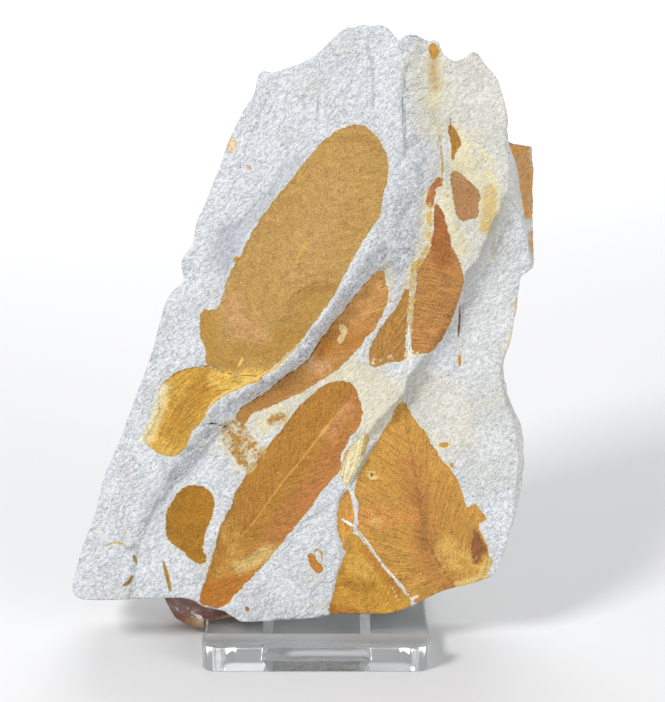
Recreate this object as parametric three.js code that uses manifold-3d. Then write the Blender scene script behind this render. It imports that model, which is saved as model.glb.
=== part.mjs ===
// Fossil leaf plate: a broken slab of pale claystone that leans on a one-piece clear stand.
// Millimetres. X runs to the right across the face, Y to the back, Z up; the stand is on Z = 0.
import * as THREE from "three";
import { mergeVertices } from "three/addons/utils/BufferGeometryUtils.js";
import { ConvexGeometry } from "three/addons/geometries/ConvexGeometry.js";
import { ImprovedNoise } from "three/addons/math/ImprovedNoise.js";
import Module from "manifold-3d";

// Driving dimensions
const LEAN = THREE.MathUtils.degToRad(20);
const SLAB_THICKNESS = 24;
const STAND_WIDTH = 64;
const STAND_DEPTH = 80;
const SHEET = 5.5;
const LIP_HEIGHT = 9;
const PANEL_LENGTH = 70;
const CLEARANCE = 0.3;

// Stand details
const CORNER_FRONT = 3.5;
const CORNER_BACK = 6;
const LIP_INNER_CORNER = 0.4;
const WINDOW_WIDTH = 25;
const WINDOW_FRONT = 10.5;
const WINDOW_FLARE = 3;
const WINDOW_FRONT_FLARE = 1;
const WINDOW_BACK_RIM = 2.5;
const CUT_OVERRUN = 1;
const PANEL_TOP_WIDTH = 40;
const PANEL_CORNER = 7;
const PANEL_SHOULDER = 2;
const PANEL_SINK = 1.6;

// Where the middle of the slab's face is, from the front of the lip at the middle of the stand
const FACE_X = 4.6;
const FACE_Y = 37.4;
const FACE_Z = 82;

// The slab's face, in millimetres from its middle: right, then up along the lean
const OUTLINE = [
  [-20.5, 79.5], [-17, 79.5], [-12, 81], [-7, 83], [-3, 86], [-0.5, 88.5], [2, 91], [4.5, 92.5],
  [6, 92.3], [8, 93], [11.5, 92.5], [13.5, 93], [16.5, 91.5], [19, 88.5], [20.5, 90], [24, 90],
  [27.4, 88.4], [29.8, 88.6], [31.3, 85.4], [34.3, 82.8], [37, 83.3], [40.6, 85.4], [43.2, 82.3],
  [46.8, 78], [48.7, 72.6], [50.2, 66.2], [51.8, 60], [54.2, 53.5], [55.3, 46],
  [57, 36.5], [58.3, 28], [58.8, 25.8], [58, 23.8], [55.4, 21.8], [54.2, 17.5],
  [53.8, 12.5], [53, 9], [52, 3], [50.2, -2.5],
  [50.4, -8.5], [52.5, -15], [54.7, -20], [56.2, -26], [56.4, -32], [55.5, -40], [53.8, -49],
  [50.7, -57], [48.5, -61.5], [47.2, -63.7], [42.5, -65.7], [38, -67], [32, -68.5], [26.5, -71],
  [21.5, -73.5], [16.5, -75], [8, -75.2], [-0.5, -75.2], [-6.5, -76.2], [-18, -77], [-25.5, -77.2],
  [-28, -76], [-31.5, -74], [-36.5, -73], [-40.5, -71], [-47.5, -70.5], [-55, -70.7], [-62, -71],
  [-72, -70.5], [-74, -68], [-73.5, -64], [-71, -55.5], [-67.5, -46], [-65.5, -37], [-60.5, -25],
  [-55.5, -11.5], [-51.5, -0.5], [-49, 8.5], [-47, 15], [-44.5, 18], [-42.5, 20], [-43, 25.5],
  [-40, 30.5], [-38.5, 37.5], [-36.5, 41.5], [-34, 48], [-31.5, 54], [-30.5, 57.5], [-29, 61.5],
  [-27, 65.5], [-24.5, 70], [-22.5, 73],
];

// Scarps: the face steps down to the right from a crest line to a foot line; a power under 1 makes the
// crest sharp and one over 1 makes it round
const UPPER_SCARP = {
  crest: [
    [16, 97], [15, 87], [14.5, 77], [15, 66], [16, 57.5], [16.5, 51], [14.5, 43], [11.5, 34.5],
    [5.5, 23], [1.5, 15.5], [-8, 3.5], [-16.5, -5.5], [-24.5, -10.5], [-30, -12], [-35.5, -16],
    [-39, -21.5], [-42, -27], [-47, -35], [-51.5, -41.5], [-55.5, -48], [-58.5, -59.5], [-61, -80],
  ],
  foot: [
    [31.5, 97], [30.5, 78.5], [30.5, 70], [32, 58.5], [31, 49.5], [27.5, 43], [27, 33], [26, 27],
    [21.5, 18], [16, 9.5], [10, 2.5], [13, 7.5], [15.5, 13], [16, 18], [13.5, 23], [10, 19],
    [5.5, 14.5], [-1.5, 6], [-5.5, -1.5], [-12.5, -6.5], [-21, -12.5], [-27, -17], [-28, -19.5],
    [-34.5, -27], [-41, -34], [-47.5, -41.5], [-51.5, -48], [-55, -55.5], [-56.5, -64], [-58.5, -80],
  ],
  high: 4.8,
  low: 0.6,
  highFrom: 15,
  lowFrom: -57,
  fadeFrom: 5,
  fadeTo: 75,
  crestPower: 1.3,
};
const LOWER_SCARP = {
  crest: [
    [65, 60], [53.5, 51], [48.5, 43.5], [47, 38.5], [43, 29.5], [38.5, 21.5], [36, 14.5], [32, 6.5],
    [28, 0.5], [22.5, -7], [20, -13], [15, -18], [10, -24], [7.5, -32], [4, -38.5], [1.5, -42.5],
    [0.5, -49.5], [2, -56.5], [1, -64], [-0.5, -71], [-1, -83],
  ],
  foot: [
    [65, 50], [55, 43], [51, 39], [47.5, 31.5], [42, 19.5], [37.5, 13.5], [36.5, 3], [36, -5.5],
    [28.5, -8.5], [22, -11], [19.5, -15], [15, -21.5], [12.5, -27], [8.5, -34], [5.5, -39.5],
    [3, -43], [2, -49.5], [3.5, -56.5], [2.5, -64], [1, -71], [0.5, -83],
  ],
  high: 4.2,
  low: 1,
  highFrom: 0,
  lowFrom: -43,
  fadeFrom: 36,
  fadeTo: 54,
  crestPower: 0.45,
};

// Beds of the broken edge, by their depth behind the face
const BED_DEPTHS = [8, -4.5, -6.5, -9, -11, -13, -13.8, -17.5, -21.5, -25];
const EDGE_DRAFT = [0, 0, 0.1, 0.2, 0.3, 0.3, 0.4, 0.9, 1.8, 3];
const DRAFT_REACH = 60;

// Right flank: the front edge is broken back in two bevels
const FLANKS = [
  { middle: 42, reach: 24, width: 5, spread: [1, 1, 0.45, 0.15, 0, 0, 0, 0, 0, 0] },
  { middle: -34, reach: 34, width: 3, spread: [1, 1, 1, 0.9, 0.1, 0, 0, 0, 0, 0] },
];

// Deeper beds that stand out past the face: a shelf at the right and a lump at the foot
const SHELF_TOP = 61.5;
const SHELF_BOTTOM = 24;
const SHELF_EDGE = 59;
const SHELF_SPREAD = [0, 0, 0, 0, 0, 0, 1, 1, 0.75, 0];
const LUMP_LEFT = -49;
const LUMP_RIGHT = -27.5;
const LUMP_FOOT = -82;
const LUMP_CLEAR = 2.5;
const LUMP_SPREAD = [0, 0, 0.4, 0.8, 0.95, 1, 1, 0.9, 0.6, 0];

// Facets and roughness
const OUTLINE_POINTS = 150;
const GRAIN = THREE.MathUtils.degToRad(-36);
const CELL_ACROSS = 2.1;
const CELL_ALONG = 4;
const BACK_CELL = 7;
const LUMP_SIZE = 17;
const LUMP_HEIGHT = 0.7;
const CHIP_SIZE = 6;
const CHIP_HEIGHT = 0.35;
const BACK_RELIEF = 2.2;
const EDGE_CHIP = 0.9;
const EDGE_CHIP_SIZE = 5;
const LAYER = { face: 0.5, chips: 4.5, back: 8.5, backChips: 2.5, edge: 0.9 };
const CURVE_SEGMENTS = 8;

const FAR = 200;
const { smoothstep, lerp } = THREE.MathUtils;
const perlin = new ImprovedNoise();
const wasm = await Module();
wasm.setup();

// Closed solids and back again
function solid(geometry) {
  const bare = geometry.clone();
  bare.deleteAttribute("normal");
  bare.deleteAttribute("uv");
  const merged = mergeVertices(bare, 1e-4);
  return new wasm.Manifold(new wasm.Mesh({
    numProp: 3,
    vertProperties: new Float32Array(merged.attributes.position.array),
    triVerts: new Uint32Array(merged.index.array),
  }));
}

function geometryOf(manifold) {
  const mesh = manifold.getMesh();
  const geometry = new THREE.BufferGeometry();
  geometry.setAttribute("position", new THREE.BufferAttribute(mesh.vertProperties, 3));
  geometry.setIndex(new THREE.BufferAttribute(mesh.triVerts, 1));
  const flat = geometry.toNonIndexed();
  flat.computeVertexNormals();
  return flat;
}

// Smooth lines through the named points
function line(points, closed, count) {
  const route = points.map(([u, v]) => new THREE.Vector3(u, v, 0));
  return new THREE.CatmullRomCurve3(route, closed, "centripetal").getSpacedPoints(count);
}

function inside(polygon, u, v) {
  let within = false;
  for (let i = 0, j = polygon.length - 1; i < polygon.length; j = i, i += 1) {
    const a = polygon[i];
    const b = polygon[j];
    if (a.y > v !== b.y > v && u < ((b.x - a.x) * (v - a.y)) / (b.y - a.y) + a.x) within = !within;
  }
  return within;
}

function distance(route, u, v) {
  let best = Infinity;
  for (let i = 1; i < route.length; i += 1) {
    const a = route[i - 1];
    const du = route[i].x - a.x;
    const dv = route[i].y - a.y;
    const along = Math.min(1, Math.max(0, ((u - a.x) * du + (v - a.y) * dv) / (du * du + dv * dv)));
    best = Math.min(best, Math.hypot(u - a.x - along * du, v - a.y - along * dv));
  }
  return best;
}

// Distance past a line that crosses the slab from top to bottom, positive to its right
function divider(points) {
  const route = line(points, false, points.length * 4);
  const right = [...route, new THREE.Vector3(FAR, -FAR, 0), new THREE.Vector3(FAR, FAR, 0)];
  return (u, v) => (inside(right, u, v) ? 1 : -1) * distance(route, u, v);
}

function scarp({ crest, foot, high, low, highFrom, lowFrom, fadeFrom, fadeTo, crestPower }) {
  const pastCrest = divider(crest);
  const pastFoot = divider(foot);
  return (u, v) => {
    const crestSide = pastCrest(u, v);
    const footSide = pastFoot(u, v);
    const fade = 1 - smoothstep(v, fadeFrom, fadeTo);
    const drop = fade * lerp(low, high, smoothstep(v, lowFrom, highFrom));
    if (footSide >= 0) return drop;
    if (crestSide <= 0) return 0;
    return drop * (crestSide / (crestSide - footSide)) ** crestPower;
  };
}

// Height of the face and of the back at a place on the slab
const upperScarp = scarp(UPPER_SCARP);
const lowerScarp = scarp(LOWER_SCARP);

function lumps(u, v, size, layer) {
  return perlin.noise(u / size, v / size, layer);
}

function faceHeight(u, v) {
  const swell = LUMP_HEIGHT * lumps(u, v, LUMP_SIZE, LAYER.face);
  const chips = CHIP_HEIGHT * lumps(u, v, CHIP_SIZE, LAYER.chips);
  return swell + chips - upperScarp(u, v) - lowerScarp(u, v);
}

function backHeight(u, v) {
  const hollow = BACK_RELIEF * lumps(u, v, 2 * LUMP_SIZE, LAYER.back);
  const chips = CHIP_HEIGHT * lumps(u, v, CHIP_SIZE, LAYER.backChips);
  return Math.max(0, hollow + chips) - SLAB_THICKNESS;
}

// Block with a shaped front or back; the other side is out of the way
function block(cellAcross, cellAlong, turn, shape) {
  const size = 2 * FAR;
  const counts = [Math.round(size / cellAcross), Math.round(size / cellAlong)];
  const geometry = new THREE.BoxGeometry(size, size, 2, ...counts);
  const position = geometry.attributes.position;
  const point = new THREE.Vector3();
  for (let i = 0; i < position.count; i += 1) {
    point.fromBufferAttribute(position, i).applyAxisAngle(new THREE.Vector3(0, 0, 1), turn);
    position.setXYZ(i, point.x, point.y, shape(point.x, point.y, point.z > 0));
  }
  return solid(geometry);
}

// How far the right side is broken back at a height on the face, in one bed
function flankInset(v, bed) {
  const insets = FLANKS.map(({ middle, reach, width, spread }) => {
    return width * spread[bed] * (1 - ((v - middle) / reach) ** 2);
  });
  return Math.max(0, ...insets);
}

// Broken edge: the outline carried back through the beds
function broken() {
  const rim = line(OUTLINE, true, OUTLINE_POINTS).slice(0, -1);
  const last = BED_DEPTHS.length - 1;
  const sheet = new THREE.Shape(rim.map((p) => new THREE.Vector2(p.x, p.y)));
  const geometry = new THREE.ExtrudeGeometry(sheet, { depth: last, steps: last, bevelEnabled: false });
  const position = geometry.attributes.position;
  for (let i = 0; i < position.count; i += 1) {
    const u = position.getX(i);
    const v = position.getY(i);
    const bed = last - Math.round(position.getZ(i));
    const inward = 1 - EDGE_DRAFT[bed] / DRAFT_REACH;
    const chip = bed > 1 ? EDGE_CHIP * lumps(u, v, EDGE_CHIP_SIZE, LAYER.edge * bed) : 0;
    let across = u * inward + chip - (u > 0 ? flankInset(v, bed) : 0);
    let up = v * inward + chip;
    if (u > 0 && v < SHELF_TOP && v > SHELF_BOTTOM) {
      across = lerp(across, SHELF_EDGE + chip, SHELF_SPREAD[bed]);
    }
    if (v < 0 && u > LUMP_LEFT && u < LUMP_RIGHT) {
      const swell = Math.sqrt(Math.sin((Math.PI * (u - LUMP_LEFT)) / (LUMP_RIGHT - LUMP_LEFT)));
      up = lerp(up, LUMP_FOOT + chip, LUMP_SPREAD[bed] * swell);
    }
    position.setXYZ(i, across, up, BED_DEPTHS[bed]);
  }
  return solid(geometry);
}

// Everything under a height, from a left side onwards, as the leaning slab sees it
function below(height, left, slab) {
  const space = new THREE.BoxGeometry(FAR, FAR, FAR);
  space.translate(left + FAR / 2, 0, height - FAR / 2);
  space.applyMatrix4(slab.matrix.clone().invert());
  return solid(space);
}

// Slab, leaning back, cut flat where it sits on the base; its foot lump hangs lower, beside the base
function makeSlab() {
  const claystone = new THREE.MeshStandardMaterial({ color: "#dcdcd8", roughness: 0.9 });
  const slab = new THREE.Mesh(undefined, claystone);
  slab.name = "slab";
  slab.position.set(FACE_X, FACE_Y, FACE_Z);
  slab.rotation.x = Math.PI / 2 - LEAN;
  slab.updateMatrix();
  const seat = below(SHEET + CLEARANCE, -STAND_WIDTH / 2 - 2 * CLEARANCE, slab);
  const table = below(LUMP_CLEAR, -FAR / 2, slab);
  const front = block(CELL_ACROSS, CELL_ALONG, GRAIN, (u, v, top) => (top ? faceHeight(u, v) : -FAR));
  const back = block(BACK_CELL, BACK_CELL, 0, (u, v, top) => (top ? FAR : backHeight(u, v)));
  const stone = broken().intersect(front).intersect(back);
  slab.geometry = geometryOf(stone.subtract(seat).subtract(table));
  return slab;
}

// Outline of a plate that lies flat, with its own corners at the front and at the back
function plan(depth, frontCorner, backCorner) {
  const half = STAND_WIDTH / 2;
  const shape = new THREE.Shape();
  shape.moveTo(-half + frontCorner, 0);
  shape.lineTo(half - frontCorner, 0);
  shape.absarc(half - frontCorner, frontCorner, frontCorner, -Math.PI / 2, 0);
  shape.absarc(half - backCorner, depth - backCorner, backCorner, 0, Math.PI / 2);
  shape.absarc(-half + backCorner, depth - backCorner, backCorner, Math.PI / 2, Math.PI);
  shape.absarc(-half + frontCorner, frontCorner, frontCorner, Math.PI, 1.5 * Math.PI);
  return shape;
}

function plate(shape, depth) {
  return new THREE.ExtrudeGeometry(shape, { depth, bevelEnabled: false, curveSegments: CURVE_SEGMENTS });
}

// Panel that the slab leans on: narrower at its round-cornered top, sunk a little into the base
function leaningPanel(footY) {
  const foot = STAND_WIDTH / 2 - PANEL_SHOULDER;
  const side = PANEL_TOP_WIDTH / 2;
  const shoulder = PANEL_LENGTH - PANEL_CORNER;
  const shape = new THREE.Shape();
  shape.moveTo(-foot, -PANEL_SINK);
  shape.lineTo(foot, -PANEL_SINK);
  shape.lineTo(side, shoulder);
  shape.absarc(side - PANEL_CORNER, shoulder, PANEL_CORNER, 0, Math.PI / 2);
  shape.absarc(PANEL_CORNER - side, shoulder, PANEL_CORNER, Math.PI / 2, Math.PI);
  const geometry = plate(shape, SHEET);
  geometry.translate(0, 0, -SHEET);
  geometry.rotateX(Math.PI / 2 - LEAN);
  geometry.translate(0, footY, SHEET);
  return geometry;
}

// Window through the base, wider underneath; the cut runs past both faces
function windowCut(backY) {
  const corners = [];
  for (const z of [-CUT_OVERRUN, SHEET + CUT_OVERRUN]) {
    const flare = 1 - z / SHEET;
    for (const side of [-1, 1]) {
      const x = side * (WINDOW_WIDTH / 2 + WINDOW_FLARE * flare);
      corners.push(new THREE.Vector3(x, WINDOW_FRONT - WINDOW_FRONT_FLARE * flare, z));
      corners.push(new THREE.Vector3(x, backY, z));
    }
  }
  return new ConvexGeometry(corners);
}

// Stand: base, lip, window and leaning panel in one piece
function makeStand() {
  const clearAcrylic = new THREE.MeshStandardMaterial({ color: "#dfe8ec", roughness: 0.1 });
  const stand = new THREE.Mesh(undefined, clearAcrylic);
  stand.name = "stand";
  const leanBack = (FACE_Z - SHEET) * Math.tan(LEAN);
  const panelFoot = FACE_Y - leanBack + (SLAB_THICKNESS + CLEARANCE) / Math.cos(LEAN);
  const base = solid(plate(plan(STAND_DEPTH, CORNER_FRONT, CORNER_BACK), SHEET));
  const lip = solid(plate(plan(SHEET, CORNER_FRONT, LIP_INNER_CORNER), LIP_HEIGHT));
  const cut = solid(windowCut(panelFoot - WINDOW_BACK_RIM));
  stand.geometry = geometryOf(base.add(lip).subtract(cut).add(solid(leaningPanel(panelFoot))));
  return stand;
}

// The origin is under the middle of the whole thing
const whole = new THREE.Group();
whole.name = "fossil_leaf_plate";
whole.add(makeSlab(), makeStand());
whole.updateMatrixWorld(true);
const extent = new THREE.Box3().setFromObject(whole, true);
const middle = extent.getCenter(new THREE.Vector3());
whole.position.set(-middle.x, -middle.y, -extent.min.z);
const plateOnStand = new THREE.Group();
plateOnStand.add(whole);

export default plateOnStand;
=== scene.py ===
import math

import bmesh
import bpy
import numpy as np
from mathutils import Matrix, Vector, noise
from mathutils.geometry import interpolate_bezier


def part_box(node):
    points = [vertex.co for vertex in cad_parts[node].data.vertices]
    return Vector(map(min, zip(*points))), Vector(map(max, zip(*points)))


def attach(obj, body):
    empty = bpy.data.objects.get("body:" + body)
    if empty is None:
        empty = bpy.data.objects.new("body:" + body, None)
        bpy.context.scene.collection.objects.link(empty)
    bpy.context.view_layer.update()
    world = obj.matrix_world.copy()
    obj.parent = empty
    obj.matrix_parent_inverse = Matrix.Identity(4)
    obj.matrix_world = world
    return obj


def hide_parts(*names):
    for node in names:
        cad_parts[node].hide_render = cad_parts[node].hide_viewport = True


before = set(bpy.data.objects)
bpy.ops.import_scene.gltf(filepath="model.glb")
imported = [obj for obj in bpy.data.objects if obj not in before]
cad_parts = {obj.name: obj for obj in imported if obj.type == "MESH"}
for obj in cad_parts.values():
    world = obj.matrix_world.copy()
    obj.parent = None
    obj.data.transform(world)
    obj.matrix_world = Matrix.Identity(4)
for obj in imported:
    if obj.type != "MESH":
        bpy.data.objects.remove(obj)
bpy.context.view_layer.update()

MM = 0.001
FAR = 200
LEAN = math.radians(20)
SLAB_THICKNESS = 24
FACE_X = 4.6
FACE_Y = 37.4
FACE_Z = 82

# Camera: its distance from the face, and the picture's long side in pixels of this size on the face
CAMERA_DISTANCE = 420
PHOTO_LONG_SIDE = 702
PIXEL = 0.285

# Outline of the slab and the scarps where its face steps down to the right
OUTLINE = [
    (-20.5, 79.5), (-17, 79.5), (-12, 81), (-7, 83), (-3, 86), (-0.5, 88.5), (2, 91), (4.5, 92.5),
    (6, 92.3), (8, 93), (11.5, 92.5), (13.5, 93), (16.5, 91.5), (19, 88.5), (20.5, 90), (24, 90),
    (27.4, 88.4), (29.8, 88.6), (31.3, 85.4), (34.3, 82.8), (37, 83.3), (40.6, 85.4), (43.2, 82.3),
    (46.8, 78), (48.7, 72.6), (50.2, 66.2), (51.8, 60), (54.2, 53.5), (55.3, 46),
    (57, 36.5), (58.3, 28), (58.8, 25.8), (58, 23.8), (55.4, 21.8), (54.2, 17.5),
    (53.8, 12.5), (53, 9), (52, 3), (50.2, -2.5),
    (50.4, -8.5), (52.5, -15), (54.7, -20), (56.2, -26), (56.4, -32), (55.5, -40), (53.8, -49),
    (50.7, -57), (48.5, -61.5), (47.2, -63.7), (42.5, -65.7), (38, -67), (32, -68.5), (26.5, -71),
    (21.5, -73.5), (16.5, -75), (8, -75.2), (-0.5, -75.2), (-6.5, -76.2), (-18, -77), (-25.5, -77.2),
    (-28, -76), (-31.5, -74), (-36.5, -73), (-40.5, -71), (-47.5, -70.5), (-55, -70.7), (-62, -71),
    (-72, -70.5), (-74, -68), (-73.5, -64), (-71, -55.5), (-67.5, -46), (-65.5, -37), (-60.5, -25),
    (-55.5, -11.5), (-51.5, -0.5), (-49, 8.5), (-47, 15), (-44.5, 18), (-42.5, 20), (-43, 25.5),
    (-40, 30.5), (-38.5, 37.5), (-36.5, 41.5), (-34, 48), (-31.5, 54), (-30.5, 57.5), (-29, 61.5),
    (-27, 65.5), (-24.5, 70), (-22.5, 73),
]
UPPER_SCARP = {
    "crest": [
        (16, 97), (15, 87), (14.5, 77), (15, 66), (16, 57.5), (16.5, 51), (14.5, 43), (11.5, 34.5),
        (5.5, 23), (1.5, 15.5), (-8, 3.5), (-16.5, -5.5), (-24.5, -10.5), (-30, -12), (-35.5, -16),
        (-39, -21.5), (-42, -27), (-47, -35), (-51.5, -41.5), (-55.5, -48), (-58.5, -59.5), (-61, -80),
    ],
    "foot": [
        (31.5, 97), (30.5, 78.5), (30.5, 70), (32, 58.5), (31, 49.5), (27.5, 43), (27, 33), (26, 27),
        (21.5, 18), (16, 9.5), (10, 2.5), (13, 7.5), (15.5, 13), (16, 18), (13.5, 23), (10, 19),
        (5.5, 14.5), (-1.5, 6), (-5.5, -1.5), (-12.5, -6.5), (-21, -12.5), (-27, -17), (-28, -19.5),
        (-34.5, -27), (-41, -34), (-47.5, -41.5), (-51.5, -48), (-55, -55.5), (-56.5, -64), (-58.5, -80),
    ],
    "high": 4.8,
    "low": 0.6,
    "high_from": 15,
    "low_from": -57,
    "fade_from": 5,
    "fade_to": 75,
    "crest_power": 1.3,
    "rough": 1,
    "fresh_grey_and_shade": 0,
}
LOWER_SCARP = {
    "crest": [
        (65, 60), (53.5, 51), (48.5, 43.5), (47, 38.5), (43, 29.5), (38.5, 21.5), (36, 14.5), (32, 6.5),
        (28, 0.5), (22.5, -7), (20, -13), (15, -18), (10, -24), (7.5, -32), (4, -38.5), (1.5, -42.5),
        (0.5, -49.5), (2, -56.5), (1, -64), (-0.5, -71), (-1, -83),
    ],
    "foot": [
        (65, 50), (55, 43), (51, 39), (47.5, 31.5), (42, 19.5), (37.5, 13.5), (36.5, 3), (36, -5.5),
        (28.5, -8.5), (22, -11), (19.5, -15), (15, -21.5), (12.5, -27), (8.5, -34), (5.5, -39.5),
        (3, -43), (2, -49.5), (3.5, -56.5), (2.5, -64), (1, -71), (0.5, -83),
    ],
    "high": 4.2,
    "low": 1,
    "high_from": 0,
    "low_from": -43,
    "fade_from": 36,
    "fade_to": 54,
    "crest_power": 0.45,
    "rough": 0.1,
    # share of fresh grey stone and painted shade just below this scarp's crest
    "fresh_grey_and_shade": 0.75,
}
TERRACES = 3
TERRACE_STEP = 0.35
RAGGED_LEDGE = 0.5
# How far the fresh grey and painted shade reach down a scarp from its crest
FRESH_AND_SHADE_REACH = 3

# Beds of the broken edge, by their depth behind the face
BED_DEPTHS = np.array([8, -4.5, -6.5, -9, -11, -13, -13.8, -17.5, -21.5, -25])
EDGE_DRAFT = [0, 0, 0.1, 0.2, 0.3, 0.3, 0.4, 0.9, 1.8, 3]
DRAFT_REACH = 60

# Right flank, broken back in two bevels: middle, reach, width, and share of the width in each bed
FLANKS = [
    (42, 24, 5, [1, 1, 0.45, 0.15, 0, 0, 0, 0, 0, 0]),
    (-34, 34, 3, [1, 1, 1, 0.9, 0.1, 0, 0, 0, 0, 0]),
]

# Deeper beds that stand out past the face: a shelf at the right and a lump at the foot
SHELF_TOP = 61.5
SHELF_BOTTOM = 24
SHELF_EDGE = 59
SHELF_SPREAD = [0, 0, 0, 0, 0, 0, 1, 1, 0.75, 0]
LUMP_LEFT = -49
LUMP_RIGHT = -27.5
LUMP_FOOT = -82
LUMP_SPREAD = [0, 0, 0.4, 0.8, 0.95, 1, 1, 0.9, 0.6, 0]

# Heights above the table: of the seat on the base, and of the lump, which hangs beside the base
SEAT_HEIGHT = 5.8
SEAT_LEFT = -37.2
LUMP_CLEAR = 2.5

# Height of the stand's lip, and how often light is followed through the clear sheet
LIP_HEIGHT = 9
CLEAR_BOUNCES = 20

# Rounding of the stand's edges, and the area in square millimetres from which its faces are flat panes
EDGE_ROUND = 0.8
PANE_AREA = 50
SHARP_CORNER = math.radians(30)

# Finish of the stand
CLEAR_TINT = (0.97, 0.985, 0.99, 1)
ACRYLIC_IOR = 1.49
POLISHED = 0.03
SAWN = 0.4

# Roughness of the stone, in millimetres; its lumps are drawn out along the grain
GRAIN_TURN = math.radians(42)
GRAIN_STRETCH = 1.8
SWELL = 0.7
SWELL_SIZE = 17
CHIP = 0.45
CHIP_SIZE = 5
GRAIN = 0.28
GRAIN_SIZE = 2
SCARP_GRAIN = 3.5
HACKLE = 0.7
HACKLE_SIZE = 2.8
BACK_RELIEF = 2.2
EDGE_CHIP = 0.7
CRUMB_HEIGHT = 0.7
GRIT_HEIGHT = 0.8
SCARP_LUMP = 1.5
VEIN_HEIGHT = 0.25
PIT_DEPTH = 0.2
BEND_SIZE = 9
LEDGE_SIZE = 3.5
EDGE_CHIP_LENGTH = 7
EDGE_CHIP_HEIGHT = 1.6
CREASE_TAPER = 3

# Sizes of the patterns in the stone's finish, in millimetres
BROAD_PATCH = 11
MIDDLE_PATCH = 2.6
SMALL_GRAIN = 0.75
FINE_GRAIN = 0.42
CRUMB_SIZE = 1.2
GRIT_SIZE = 0.48
LUMP_SIZE = 2.2
PIT_SPACING = 2.6

# Veins of the prints: how close they are across and along, how dark, and the pattern's shift from leaf
# to leaf and from side to side of the midrib
VEIN_CLOSENESS = (2, 0.2, 1)
VEIN_SHADE = 1.8
LEAF_SHIFT = 3.7
SIDE_SHIFT = 1.3

# How fast the prints end behind the face, and the share of the way back where the edge's tones set in
PRINT_FALL = 2
EDGE_START = 0.02
EDGE_FULL = 0.1

# Fineness of the slab's mesh
CELL = 1.1
RINGS = 26

# Paints, as red, green and blue out of 255
STONE_WHITE = (243, 245, 247)
# Grey end of the stone's fine speckle, partly painted shade of its grain
STONE_GREY_AND_GRAIN_SHADE = (190, 194, 200)
# Grey of painted shade on the bare stone's slopes and grooves
SLOPE_SHADE_GREY = (186, 190, 197)
# Grey of fresh stone below the lower scarp's crest, also painted shade on the scarp's face
FRESH_GREY_AND_SHADE = (172, 173, 174)
CREAM = (232, 224, 194)
HALO = (238, 229, 198)
LEMON = (240, 228, 184)
PALE = (238, 221, 166)
YELLOW = (230, 193, 104)
OCHRE = (200, 162, 80)
GOLD = (204, 157, 68)
DEEP_GOLD = (178, 134, 58)
TAN = (188, 149, 85)
PINK = (204, 156, 108)
RUST = (178, 110, 48)
RED_BROWN = (186, 122, 70)
BROWN = (148, 102, 52)
UMBER = (86, 68, 50)
OLIVE = (116, 98, 52)
MAROON = (128, 78, 74)
PURPLE = (150, 114, 102)
CRACK_WHITE = (242, 238, 229)
# Grey of cracks, also laid as painted shade along the small ledges and in the pits
CRACK_AND_SHADE_GREY = (146, 149, 155)
CRACK_HALF = 0.11

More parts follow.
